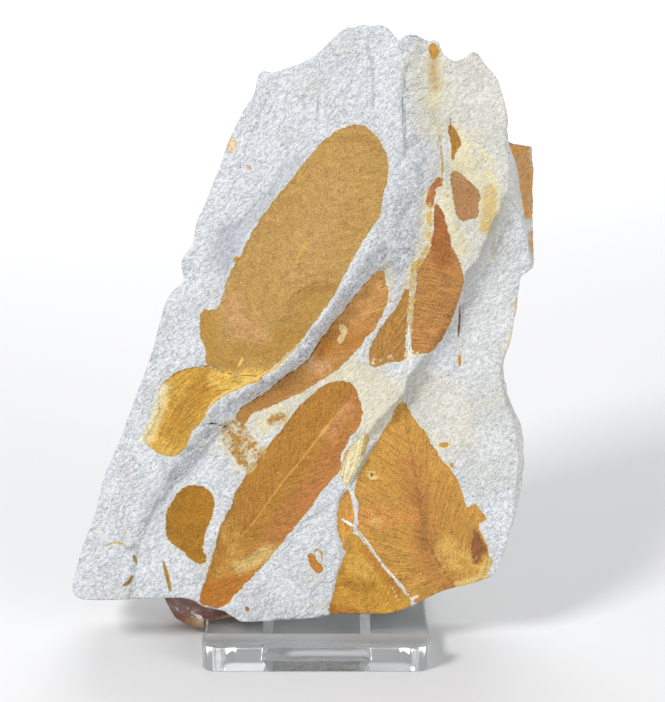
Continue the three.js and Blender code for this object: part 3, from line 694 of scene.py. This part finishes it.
def face_height(places):
    """Height of the face at each place, how rough its scarps are there, and how much fresh grey stone and
    painted shade lie below their crests.
    """
    waver = roughness(places, BEND_SIZE, 3.3)
    ledge = np.column_stack((roughness(places, LEDGE_SIZE, 1.7), roughness(places, LEDGE_SIZE, 2.6)))
    shifted = places + RAGGED_LEDGE * ledge
    grained = along_grain(places)
    sink, bare = leaf_sink(places)
    slope = np.zeros(len(places))
    # fresh grey stone and painted shade below the scarps' crests
    broken = np.zeros(len(places))
    height = SWELL * roughness(places, SWELL_SIZE, 0.5) - sink
    for scarp in (UPPER_SCARP, LOWER_SCARP):
        drop, steep, fresh_grey_and_shade = scarp_drop(scarp, shifted, waver)
        height -= drop
        slope = np.maximum(slope, steep * bare)
        broken = np.maximum(broken, fresh_grey_and_shade)
    height += CHIP * (0.3 + 0.7 * bare) * roughness(grained, CHIP_SIZE, 4.5)
    height += GRAIN * (0.12 + 0.88 * bare + SCARP_GRAIN * slope) * roughness(grained, GRAIN_SIZE, 6.5, 4)
    height += HACKLE * (0.25 * bare + slope) * hackles(grained, HACKLE_SIZE, 7.7)
    for drop, reach, corners in CREASES:
        gap, side = crease_side(corners, shifted)
        height -= drop * np.exp(-gap / reach) * smooth(side, -0.15, 0.35)
    for _, half, rise, corners in LINES:
        height += rise * (1 - smooth(curve(corners).away(places), 0.5 * half, half + 0.5))
    return height, slope, broken


def back_height(places):
    hollow = BACK_RELIEF * roughness(places, 2 * SWELL_SIZE, 8.5) + CHIP * roughness(places, CHIP_SIZE, 2.5)
    return np.maximum(0, hollow) - SLAB_THICKNESS


def at_depth(spread, depth):
    """A bed value at any depth behind the face."""
    return np.interp(depth, BED_DEPTHS[::-1], spread[::-1])


def edge_place(rim, depth):
    """Where the broken edge is at a depth, for places on the outline."""
    u, v = rim.T
    inward = 1 - at_depth(EDGE_DRAFT, depth) / DRAFT_REACH
    inset = np.zeros(len(rim))
    for middle, reach, width, spread in FLANKS:
        flank = width * at_depth(spread, depth) * (1 - ((v - middle) / reach) ** 2)
        inset = np.maximum(inset, np.where(u > 0, flank, 0))
    across = u * inward - inset
    up = v * inward
    above_bottom = smooth(v, SHELF_BOTTOM - 0.5, SHELF_BOTTOM + 1)
    below_top = 1 - smooth(v, SHELF_TOP - 1, SHELF_TOP + 0.5)
    on_shelf = above_bottom * below_top * (u > 0)
    across += (SHELF_EDGE - across) * at_depth(SHELF_SPREAD, depth) * on_shelf
    share = np.clip((u - LUMP_LEFT) / (LUMP_RIGHT - LUMP_LEFT), 0, 1)
    swell = np.where(v < 0, np.sqrt(np.abs(np.sin(math.pi * share))), 0)
    up += (LUMP_FOOT - up) * at_depth(LUMP_SPREAD, depth) * swell
    return np.column_stack((across, up))


def plate_mesh(rim):
    """A flat plate with the slab's outline, one unit thick, fine on its face and round its edge."""
    low = rim.points.min(axis=0) - CELL
    high = rim.points.max(axis=0) + CELL
    counts = np.ceil((high - low) / CELL).astype(int)
    middle = (low + high) / 2
    plate = bmesh.new()
    spread = Matrix.Translation((*middle, 0)) @ Matrix.Diagonal((*(counts * CELL), 1, 1))
    across, up = (int(count) for count in counts)
    bmesh.ops.create_grid(plate, x_segments=across, y_segments=up, size=0.5, matrix=spread)
    places = np.array([vert.co.xy for vert in plate.verts])
    outside = depth_inside(rim, places) < -0.4 * CELL
    spare = [vert for vert, out in zip(plate.verts, outside) if out]
    bmesh.ops.delete(plate, geom=spare, context="VERTS")
    border = [vert for vert in plate.verts if vert.is_boundary]
    _, span, share = rim.nearest(np.array([vert.co.xy for vert in border]))
    for vert, spot in zip(border, rim.starts[span] + share[:, None] * rim.runs[span]):
        vert.co.xy = spot
    inner = [vert for vert in plate.verts if not vert.is_boundary]
    for _ in range(3):
        bmesh.ops.smooth_vert(plate, verts=inner, factor=0.5, use_axis_x=True, use_axis_y=True)
    behind = bmesh.ops.extrude_face_region(plate, geom=plate.faces[:])["geom"]
    behind = [item for item in behind if isinstance(item, bmesh.types.BMVert)]
    bmesh.ops.translate(plate, verts=behind, vec=(0, 0, -1))
    edge_lines = [edge for edge in plate.edges if abs(edge.verts[0].co.z - edge.verts[1].co.z) > 0.5]
    bmesh.ops.subdivide_edges(plate, edges=edge_lines, cuts=RINGS - 1, use_grid_fill=True)
    fine = []
    for edge in plate.edges:
        level = abs(edge.verts[0].co.z - edge.verts[1].co.z) < 1e-6
        at_back = all(face.calc_center_median().z < -0.9999 for face in edge.link_faces)
        if level and not at_back:
            fine.append(edge)
    bmesh.ops.subdivide_edges(plate, edges=fine, cuts=1, use_grid_fill=True)
    bmesh.ops.recalc_face_normals(plate, faces=plate.faces)
    return plate


def edge_profile(rim, share, front, back):
    """Places down the broken edge: share 0 is at the face and 1 at the back."""
    depths = np.clip(BED_DEPTHS[None, :], back[:, None], front[:, None])
    levels = [np.column_stack((edge_place(rim, depth), depth)) for depth in depths.T]
    profile = np.stack(levels, axis=1)
    lengths = np.linalg.norm(np.diff(profile, axis=1), axis=2)
    begun = np.concatenate((np.zeros((len(rim), 1)), np.cumsum(lengths, axis=1)), axis=1)
    wanted = share * begun[:, -1]
    span = np.clip((begun <= wanted[:, None]).sum(axis=1) - 1, 0, lengths.shape[1] - 1)
    row = np.arange(len(rim))
    part = (wanted - begun[row, span]) / np.maximum(lengths[row, span], 1e-9)
    here = profile[row, span]
    return here + np.clip(part, 0, 1)[:, None] * (profile[row, span + 1] - here)


def edge_roughness(spots):
    """Chips along the broken edge, drawn out along the beds."""
    drawn = (EDGE_CHIP_LENGTH, EDGE_CHIP_LENGTH, EDGE_CHIP_HEIGHT)
    rows = spots / np.array(drawn)
    return np.fromiter((noise.fractal(Vector(row), 0.8, 2.2, 3) for row in rows), float, len(spots))


def at_edge_of_back(plate, share):
    """Which places are on the back's own rim."""
    rim = np.zeros(len(share), bool)
    for i, vert in enumerate(plate.verts):
        if share[i] > 1 - 1e-6:
            rim[i] = any(edge.other_vert(vert).co.z > -1 + 1e-6 for edge in vert.link_edges)
    return rim


def shape_slab(plate, outline, rim):
    """The slab's own relief: where each place of the flat plate goes, its share of the way back,
    how deep it is behind the face, how rough the scarps are there, and how much fresh grey stone and
    painted shade lie below their crests."""
    flat = np.array([vert.co[:] for vert in plate.verts])
    places = flat[:, :2]
    share = -flat[:, 2]
    front, slope, broken = face_height(places)
    back = back_height(places)
    spots = np.column_stack((places, front))
    on_back = share > 1 - 1e-6
    inward = 1 - at_depth(EDGE_DRAFT, back) / DRAFT_REACH
    spots[on_back] = np.column_stack((places * inward[:, None], back))[on_back]
    side = (share > 1e-6) & ((share < 1 - 1e-6) | at_edge_of_back(plate, share))
    _, span, part = rim.nearest(places[side])
    origin = outline.starts[span] + part[:, None] * outline.runs[span]
    edge = edge_profile(origin, share[side], front[side], back[side])
    chips = EDGE_CHIP * edge_roughness(edge) * smooth(share[side], 0, 0.12)
    reach = np.linalg.norm(edge[:, :2], axis=1)
    edge[:, :2] *= (1 + chips / reach)[:, None]
    spots[side] = edge
    floor = np.where(spots[:, 0] > SEAT_LEFT, SEAT_HEIGHT, LUMP_CLEAR)
    low = (floor - FACE_Z - spots[:, 2] * math.sin(LEAN)) / math.cos(LEAN)
    spots[:, 1] = np.maximum(spots[:, 1], low)
    return spots, share, np.maximum(0, front - spots[:, 2]), slope, broken


class Coat:
    """The uppermost of several prints at each place: the depth inside its edge, its paint and its veins."""

    def __init__(self, count):
        self.depth = np.full(count, -9.0)
        self.tint = np.zeros((count, 4))
        self.veins = np.zeros((count, 3))

    def add(self, depth, paint, strength=1, veins=None):
        nearer = depth > self.depth
        self.depth[nearer] = depth[nearer]
        self.tint[nearer] = (*linear(paint), strength)
        if veins is not None:
            self.veins[nearer] = veins[nearer]


def vein_places(leaf, number, places):
    """Places across and along the veins, which slant away from the midrib towards the leaf's tip."""
    midrib = curve(leaf["midrib"])
    along, across = midrib.along_across(places)
    right, left = np.broadcast_to(leaf["slant"], (2, 2))
    at_tip, at_stalk = np.where(across > 0, right[:, None], left[:, None])
    spread = (at_tip - at_stalk) / midrib.lengths.sum()
    off = np.abs(across)
    start = (along + at_tip * off) / np.maximum(1 + spread * off, 0.3)
    steep = np.hypot(1, at_tip - spread * start)
    own_pattern = LEAF_SHIFT * number + SIDE_SHIFT * (across > 0)
    return np.column_stack((leaf.get("fine", 1) * start / steep, off * steep, own_pattern))


def leaf_layer(layer, places, sunk):
    """The leaf prints of one layer."""
    coat = Coat(len(places))
    for number, (name, leaf) in enumerate(LEAVES.items()):
        if leaf["layer"] == layer:
            depth = leaf.get("soft", 1) * depth_inside(LEAF_EDGES[name], places) - sunk
            coat.add(depth, leaf["paint"], leaf["veins"], vein_places(leaf, number, places))
    return coat


def tapered(corners, half, places):
    """Depth inside a line that thins to nothing at its ends."""
    line = curve(corners)
    along, across = line.along_across(places)
    share = np.clip(along / line.lengths.sum(), 0, 1)
    return half * (4 * share * (1 - share)) ** 0.4 - np.abs(across)


def line_layer(places, sunk):
    """The thin lines, and grey cracks along the small ledges, which are partly painted shade of the ledges.
    """
    coat = Coat(len(places))
    bare = leaf_sink(places)[1]
    for paint, half, _, corners in LINES:
        coat.add(tapered(corners, half, places) - sunk, paint)
    for _, _, corners in CREASES:
        # A thin grey crack along each small ledge, partly painted shade of the ledge
        coat.add(tapered(corners, CRACK_HALF, places) - sunk - (1 - bare), CRACK_AND_SHADE_GREY)
    return coat


def brushed(marks, places):
    """Soft marks laid over one another: their colour and how much they cover."""
    tint = np.zeros((len(places), 3))
    cover = np.zeros(len(places))
    for paint, strength, radius, fade, corners in marks:
        gap = curve(corners, spacing=2).away(places)
        mark = strength * (1 - smooth(gap, radius, radius + fade))
        tint = tint * (1 - mark[:, None]) + mark[:, None] * np.array(linear(paint))
        cover = cover * (1 - mark) + mark
    return np.column_stack((tint / np.maximum(cover, 1e-6)[:, None], cover))


def laid_over(below, above, share):
    """One set of soft marks over another, as far as the share says."""
    cover = (above[:, 3] * share)[:, None]
    under = below[:, 3:] * (1 - cover)
    total = under + cover
    tint = (below[:, :3] * under + above[:, :3] * cover) / np.maximum(total, 1e-6)
    return np.column_stack((tint, total))


def keep(mesh, name, kind, values, domain="POINT"):
    attribute = mesh.attributes.new(name, kind, domain)
    field = {"FLOAT": "value", "FLOAT_VECTOR": "vector", "FLOAT_COLOR": "color"}[kind]
    attribute.data.foreach_set(field, np.ascontiguousarray(values, dtype=np.float32).ravel())


def make_slab(face_to_world):
    outline = curve(OUTLINE, closed=True)
    rim = Line(edge_place(outline.points, face_height(outline.points)[0]), closed=True)
    plate = plate_mesh(rim)
    spots, share, behind, slope, broken = shape_slab(plate, outline, rim)
    world = np.column_stack((spots, np.ones(len(spots)))) @ np.array(face_to_world).T
    mesh = bpy.data.meshes.new("slab")
    plate.to_mesh(mesh)
    plate.free()
    mesh.vertices.foreach_set("co", world[:, :3].astype(np.float32).ravel())
    mesh.polygons.foreach_set("use_smooth", np.ones(len(mesh.polygons), bool))
    places = spots[:, :2]
    sunk = PRINT_FALL * behind
    for layer in (1, 2, 3):
        coat = leaf_layer(layer, places, sunk)
        keep(mesh, f"leaf_depth_{layer}", "FLOAT", coat.depth)
        keep(mesh, f"leaf_tint_{layer}", "FLOAT_COLOR", coat.tint)
        keep(mesh, f"leaf_veins_{layer}", "FLOAT_VECTOR", coat.veins)
    lines = line_layer(places, sunk)
    keep(mesh, "line_depth", "FLOAT", lines.depth)
    keep(mesh, "line_tint", "FLOAT_COLOR", lines.tint)
    on_edge = smooth(share, EDGE_START, EDGE_FULL)[:, None]
    depth = -spots[:, 2]
    past_front = smooth(depth, SHELF_FRONT - 0.4, SHELF_FRONT)
    past_back = smooth(depth, SHELF_BACK, SHELF_BACK + 1.5)
    on_shelf = past_front * (1 - past_back)
    edge_tone = laid_over(brushed(EDGE_TONES, places), brushed(SHELF_TONES, places), on_shelf)
    stone_tone = brushed(STONE_TONES, places) * (1 - on_edge) + edge_tone * on_edge
    stain = brushed(STAINS, places) * (1 - on_edge) + brushed(EDGE_STAINS, places) * on_edge
    keep(mesh, "stone_tone", "FLOAT_COLOR", stone_tone)
    keep(mesh, "leaf_tone", "FLOAT_COLOR", brushed(LEAF_TONES, places))
    keep(mesh, "stain", "FLOAT_COLOR", stain)
    keep(mesh, "slope", "FLOAT", slope * (1 - on_edge[:, 0]))
    keep(mesh, "fresh_grey_and_shade", "FLOAT", broken * (1 - on_edge[:, 0]))
    mesh.update()
    slab = bpy.data.objects.new("claystone_slab", mesh)
    bpy.context.scene.collection.objects.link(slab)
    slab.data.materials.append(stone_material(face_to_world))
    return slab


class Shader:
    """A material's node tree, with short ways to add and join nodes."""

    def __init__(self, name):
        self.material = bpy.data.materials.new(name)
        self.material.use_nodes = True
        self.tree = self.material.node_tree
        self.surface = self.tree.nodes["Principled BSDF"]

    def node(self, kind, inputs=(), **settings):
        node = self.tree.nodes.new(kind)
        for name, value in settings.items():
            setattr(node, name, value)
        for key, value in dict(inputs).items():
            self.set(node.inputs[key], value)
        return node

    def set(self, socket, value):
        if isinstance(value, bpy.types.NodeSocket):
            self.tree.links.new(value, socket)
        else:
            socket.default_value = value

    def attribute(self, name):
        return self.node("ShaderNodeAttribute", attribute_name=name)

    def math(self, operation, *values):
        node = self.node("ShaderNodeMath", operation=operation)
        for socket, value in zip(node.inputs, values):
            self.set(socket, value)
        return node.outputs[0]

    def ramp(self, value, start, end, low=0.0, high=1.0):
        inputs = {"Value": value, "From Min": start, "From Max": end, "To Min": low, "To Max": high}
        return self.node("ShaderNodeMapRange", inputs, interpolation_type="SMOOTHSTEP").outputs[0]

    def noise(self, vector, size, detail=3.0, rough=0.55):
        inputs = {"Vector": vector, "Scale": 1 / size, "Detail": detail, "Roughness": rough}
        return self.node("ShaderNodeTexNoise", inputs).outputs[0]

    def mix(self, share, first, second, blend="MIX"):
        node = self.node("ShaderNodeMix", data_type="RGBA", blend_type=blend)
        self.set(node.inputs[0], share)
        self.set(node.inputs[6], first)
        self.set(node.inputs[7], second)
        return node.outputs[2]

    def brighten(self, tint, light):
        return self.node("ShaderNodeVectorMath", {0: tint, 3: light}, operation="SCALE").outputs[0]


class Grains:
    """The uneven patterns that the slab's finishes share."""

    def __init__(self, shader, face_to_world):
        back = face_to_world.inverted()
        self.place = shader.node("ShaderNodeMapping", {
            "Vector": shader.node("ShaderNodeTexCoord").outputs["Object"],
            "Location": back.to_translation(),
            "Rotation": back.to_euler(),
            "Scale": back.to_scale(),
        }).outputs[0]
        self.drawn_out = shader.node("ShaderNodeMapping", {
            "Vector": self.place,
            "Rotation": (0, 0, GRAIN_TURN),
            "Scale": (GRAIN_STRETCH, 1, 1),
        }, vector_type="TEXTURE").outputs[0]
        self.broad = shader.noise(self.place, BROAD_PATCH, 4)
        self.middle = shader.noise(self.place, MIDDLE_PATCH, 5, 0.6)
        self.small = shader.noise(self.drawn_out, SMALL_GRAIN, 4, 0.65)
        self.fine = shader.noise(self.place, FINE_GRAIN, 3, 0.65)
        self.crumbs = shader.noise(self.place, SMALL_GRAIN, 1)
        uneven = shader.ramp(self.middle, 0.3, 0.7, -0.25, 0.25)
        self.ragged = shader.math("ADD", uneven, shader.ramp(self.small, 0.3, 0.7, -0.22, 0.22))
        specks = shader.ramp(self.fine, 0.25, 0.75, 0.62, 1.27)
        self.specks = shader.math("ADD", specks, shader.ramp(self.middle, 0.25, 0.75, -0.08, 0.12))
        blotch = shader.math("ADD", self.middle, self.small)
        self.blotch = shader.math("MULTIPLY", blotch, 0.5)
        spots = shader.node("ShaderNodeTexVoronoi", {"Vector": self.place, "Scale": 1 / PIT_SPACING})
        self.pits = shader.ramp(spots.outputs["Distance"], 0.06, 0.12, 1, 0)


def bare_stone(shader, grains):
    """Paint of the stone itself, with its tones and pits; its grey speckles and darkened pits are partly
    painted shade of the grain, and its grey slope tones and the fresh grey below the lower scarp's crest
    are painted shade.
    """
    # Fine grey and white speckle: the stone's own grain, its grey partly painted shade of the grain
    grain_mottle_and_shade = shader.math("ADD", grains.small, grains.fine)
    stone = shader.mix(shader.ramp(grain_mottle_and_shade, 0.8, 1.2), colour(STONE_GREY_AND_GRAIN_SHADE), colour(STONE_WHITE))
    stone = shader.mix(shader.ramp(grains.broad, 0.54, 0.78, 0, 0.35), stone, colour(CREAM))
    tone = shader.attribute("stone_tone")
    toned = shader.brighten(tone.outputs["Color"], shader.ramp(grain_mottle_and_shade, 0.78, 1.22, 0.84, 1.06))
    patchy = shader.ramp(grains.middle, 0.3, 0.7, 0.85, 1.15)
    cover = shader.math("MINIMUM", shader.math("MULTIPLY", tone.outputs["Alpha"], patchy), 1.0)
    stone = shader.mix(cover, stone, toned)
    # Fresh grey stone below the lower scarp's crest, which is also painted shade on its face
    stone = shader.mix(shader.attribute("fresh_grey_and_shade").outputs["Fac"], stone, colour(FRESH_GREY_AND_SHADE))
    # Pits darkened in colour, partly painted shade in the hollows
    return shader.mix(shader.math("MULTIPLY", grains.pits, 0.6), stone, colour(CRACK_AND_SHADE_GREY))


def leaf_coat(shader, grains, layer, leaf_tone, tone_share):
    """One layer of leaf prints: its paint, where it covers, the pale rim round it, and its veins."""
    depth = shader.math("ADD", shader.attribute(f"leaf_depth_{layer}").outputs["Fac"], grains.ragged)
    tint = shader.attribute(f"leaf_tint_{layer}")
    veins = shader.attribute(f"leaf_veins_{layer}").outputs["Vector"]
    stretch = shader.node("ShaderNodeVectorMath", {0: veins, 1: VEIN_CLOSENESS}, operation="MULTIPLY")
    streak = shader.noise(stretch.outputs[0], 1, 3, 0.6)
    swing = shader.math("MULTIPLY", shader.math("SUBTRACT", streak, 0.5), tint.outputs["Alpha"])
    painted = tint.outputs["Color"]
    if layer < 3:
        painted = shader.mix(tone_share, painted, leaf_tone)
    light = shader.math("ADD", grains.specks, shader.math("MULTIPLY", swing, VEIN_SHADE))
    light = shader.math("ADD", light, shader.ramp(grains.small, 0.25, 0.75, -0.12, 0.12))
    if layer < 3:
        light = shader.math("MULTIPLY", light, shader.ramp(depth, 0, 0.4, 1.06, 1))
    painted = shader.brighten(painted, light)
    crumbs = shader.math("ADD", grains.crumbs, shader.ramp(depth, 0, 1.2, 0.08, 0))
    painted = shader.mix(shader.ramp(crumbs, 0.77, 0.83, 0, 0.8), painted, colour(PALE))
    cover = shader.ramp(depth, -0.1, 0.1)
    halo = shader.ramp(depth, -0.9, 0, 0, 0.6)
    return painted, cover, halo, shader.math("MULTIPLY", swing, cover)


def stone_material(face_to_world):
    shader = Shader("claystone")
    grains = Grains(shader, face_to_world)
    slope = shader.attribute("slope").outputs["Fac"]
    base = bare_stone(shader, grains)
    leaf_tone = shader.attribute("leaf_tone")
    patchy = shader.ramp(grains.middle, 0.3, 0.7, 0.55, 1.3)
    tone_share = shader.math("MINIMUM", shader.math("MULTIPLY", leaf_tone.outputs["Alpha"], patchy), 1.0)
    covers = 0.0
    veins = 0.0
    for layer in (2, 1, 3):
        coat = leaf_coat(shader, grains, layer, leaf_tone.outputs["Color"], tone_share)
        painted, cover, halo, swing = coat
        on_stone = shader.math("SUBTRACT", 1.0, covers)
        base = shader.mix(shader.math("MULTIPLY", halo, on_stone), base, colour(HALO))
        base = shader.mix(cover, base, painted)
        covers = shader.math("MAXIMUM", covers, cover)
        veins = shader.math("ADD", veins, swing)
    stain = shader.attribute("stain")
    spotted = shader.ramp(shader.math("ADD", stain.outputs["Alpha"], grains.blotch), 0.95, 1.11)
    spotted = shader.math("MULTIPLY", spotted, shader.ramp(stain.outputs["Alpha"], 0.02, 0.3))
    base = shader.mix(spotted, base, shader.brighten(stain.outputs["Color"], grains.specks))
    line = shader.attribute("line_depth").outputs["Fac"]
    lined = shader.ramp(shader.math("ADD", line, shader.math("MULTIPLY", grains.ragged, 0.2)), -0.08, 0.08)
    inked = shader.mix(0.5, shader.attribute("line_tint").outputs["Color"], grains.specks, "MULTIPLY")
    base = shader.mix(lined, base, inked)
    shader.set(shader.surface.inputs["Base Color"], base)
    shader.set(shader.surface.inputs["Roughness"], shader.ramp(covers, 0, 1, 0.92, 0.78))
    shader.set(shader.surface.inputs["Specular IOR Level"], 0.25)
    crumbs = shader.math("MULTIPLY", shader.noise(grains.drawn_out, CRUMB_SIZE, 2, 0.5), CRUMB_HEIGHT)
    grit = shader.math("MULTIPLY", shader.noise(grains.drawn_out, GRIT_SIZE, 2, 0.5), GRIT_HEIGHT)
    rough = shader.math("ADD", shader.ramp(grains.broad, 0.35, 0.65, 0.6, 1.15), slope)
    coarse = shader.math("MULTIPLY", shader.math("ADD", crumbs, grit), rough)
    lumps = shader.math("MULTIPLY", shader.noise(grains.drawn_out, LUMP_SIZE, 2, 0.5), SCARP_LUMP)
    coarse = shader.math("ADD", coarse, shader.math("MULTIPLY", lumps, slope))
    coarse = shader.math("SUBTRACT", coarse, shader.math("MULTIPLY", grains.pits, PIT_DEPTH))
    height = shader.math("MULTIPLY", coarse, shader.ramp(covers, 0, 1, 1, 0.22))
    height = shader.math("ADD", height, shader.math("MULTIPLY", veins, VEIN_HEIGHT))
    bump = shader.node("ShaderNodeBump", {"Height": height, "Distance": MM, "Strength": 1.0})
    shader.set(shader.surface.inputs["Normal"], bump.outputs[0])
    return shader.material


def clear_material():
    shader = Shader("clear acrylic")
    shader.set(shader.surface.inputs["Base Color"], CLEAR_TINT)
    sawn = shader.attribute("sawn").outputs["Fac"]
    shader.set(shader.surface.inputs["Roughness"], shader.ramp(sawn, 0, 1, POLISHED, SAWN))
    shader.set(shader.surface.inputs["IOR"], ACRYLIC_IOR)
    shader.set(shader.surface.inputs["Transmission Weight"], 1.0)
    return shader.material


def sawn_edge(face):
    """1 on the sheet's sides and on the tops of the lip and the panel, and 0 on its polished faces."""
    sideways = abs(face.normal.x) > 0.8
    on_top = face.normal.z > 0.9 and face.center.z > (LIP_HEIGHT - 0.5) * MM
    return float(sideways or on_top)


def make_stand():
    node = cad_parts["stand"]
    body = bmesh.new()
    body.from_mesh(node.data)
    body.transform(node.matrix_world)
    bmesh.ops.remove_doubles(body, verts=body.verts, dist=0.01 * MM)
    bmesh.ops.dissolve_limit(body, angle_limit=math.radians(2), verts=body.verts, edges=body.edges)
    sharp = [edge for edge in body.edges if edge.is_manifold and edge.calc_face_angle() > SHARP_CORNER]
    bmesh.ops.bevel(
        body, geom=sharp, offset=EDGE_ROUND * MM, offset_type="OFFSET", segments=4, profile=0.5,
        affect="EDGES", material=-1, clamp_overlap=True,
    )
    mesh = bpy.data.meshes.new("stand")
    body.to_mesh(mesh)
    body.free()
    mesh.polygons.foreach_set("use_smooth", [face.area < PANE_AREA * MM * MM for face in mesh.polygons])
    keep(mesh, "sawn", "FLOAT", [sawn_edge(face) for face in mesh.polygons], "FACE")
    stand = bpy.data.objects.new("clear_stand", mesh)
    bpy.context.scene.collection.objects.link(stand)
    stand.data.materials.append(clear_material())
    return stand


def make_floor():
    body = bmesh.new()
    bmesh.ops.create_grid(body, x_segments=1, y_segments=1, size=4)
    mesh = bpy.data.meshes.new("floor")
    body.to_mesh(mesh)
    body.free()
    floor = bpy.data.objects.new("floor", mesh)
    floor.location.z = -0.1 * MM
    bpy.context.scene.collection.objects.link(floor)
    shader = Shader("floor")
    shader.set(shader.surface.inputs["Base Color"], (0.8, 0.8, 0.81, 1))
    shader.set(shader.surface.inputs["Roughness"], 0.7)
    floor.data.materials.append(shader.material)


def soft_light(name, place, aim, *, size, power):
    lamp = bpy.data.lights.new(name, "AREA")
    lamp.shape = "SQUARE"
    lamp.size = size
    lamp.energy = power
    light = bpy.data.objects.new(name, lamp)
    light.location = place
    light.rotation_euler = (aim - Vector(place)).to_track_quat("-Z", "Y").to_euler()
    bpy.context.scene.collection.objects.link(light)


def set_the_scene(face_to_world, aim):
    scene = bpy.context.scene
    scene.view_settings.view_transform = "Standard"
    scene.cycles.max_bounces = CLEAR_BOUNCES
    scene.cycles.glossy_bounces = CLEAR_BOUNCES
    scene.cycles.transmission_bounces = CLEAR_BOUNCES
    world = bpy.data.worlds.new("studio")
    world.use_nodes = True
    sky = world.node_tree.nodes["Background"]
    sky.inputs["Color"].default_value = (0.98, 0.99, 1, 1)
    sky.inputs["Strength"].default_value = 0.36
    scene.world = world
    soft_light("key", (-0.72, -0.45, 0.85), aim, size=0.3, power=8.4)
    soft_light("fill", (0.75, -0.6, 0.45), aim, size=0.6, power=4)
    soft_light("backdrop", (0, 1.3, 1.1), Vector((0, 1.6, 0)), size=1.2, power=22)
    lens = bpy.data.cameras.new("camera")
    lens.lens = lens.sensor_width * CAMERA_DISTANCE / (PHOTO_LONG_SIDE * PIXEL)
    camera = bpy.data.objects.new("camera", lens)
    facing = face_to_world.to_quaternion().to_matrix().to_4x4()
    stand_off = Matrix.Translation((0, 0, CAMERA_DISTANCE * MM))
    camera.matrix_world = Matrix.Translation(aim) @ facing @ stand_off
    scene.collection.objects.link(camera)
    scene.camera = camera


stand_low, stand_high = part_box("stand")
face_middle = Vector((
    (stand_low[0] + stand_high[0]) / 2 + FACE_X * MM,
    stand_low[1] + FACE_Y * MM,
    stand_low[2] + FACE_Z * MM,
))
leaning = Matrix.Rotation(math.pi / 2 - LEAN, 4, "X")
face_to_world = Matrix.Translation(face_middle) @ leaning @ Matrix.Scale(MM, 4)

slab = make_slab(face_to_world)
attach(slab, "root")
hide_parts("slab")

stand = make_stand()
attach(stand, "root")
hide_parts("stand")

make_floor()
set_the_scene(face_to_world, face_middle)
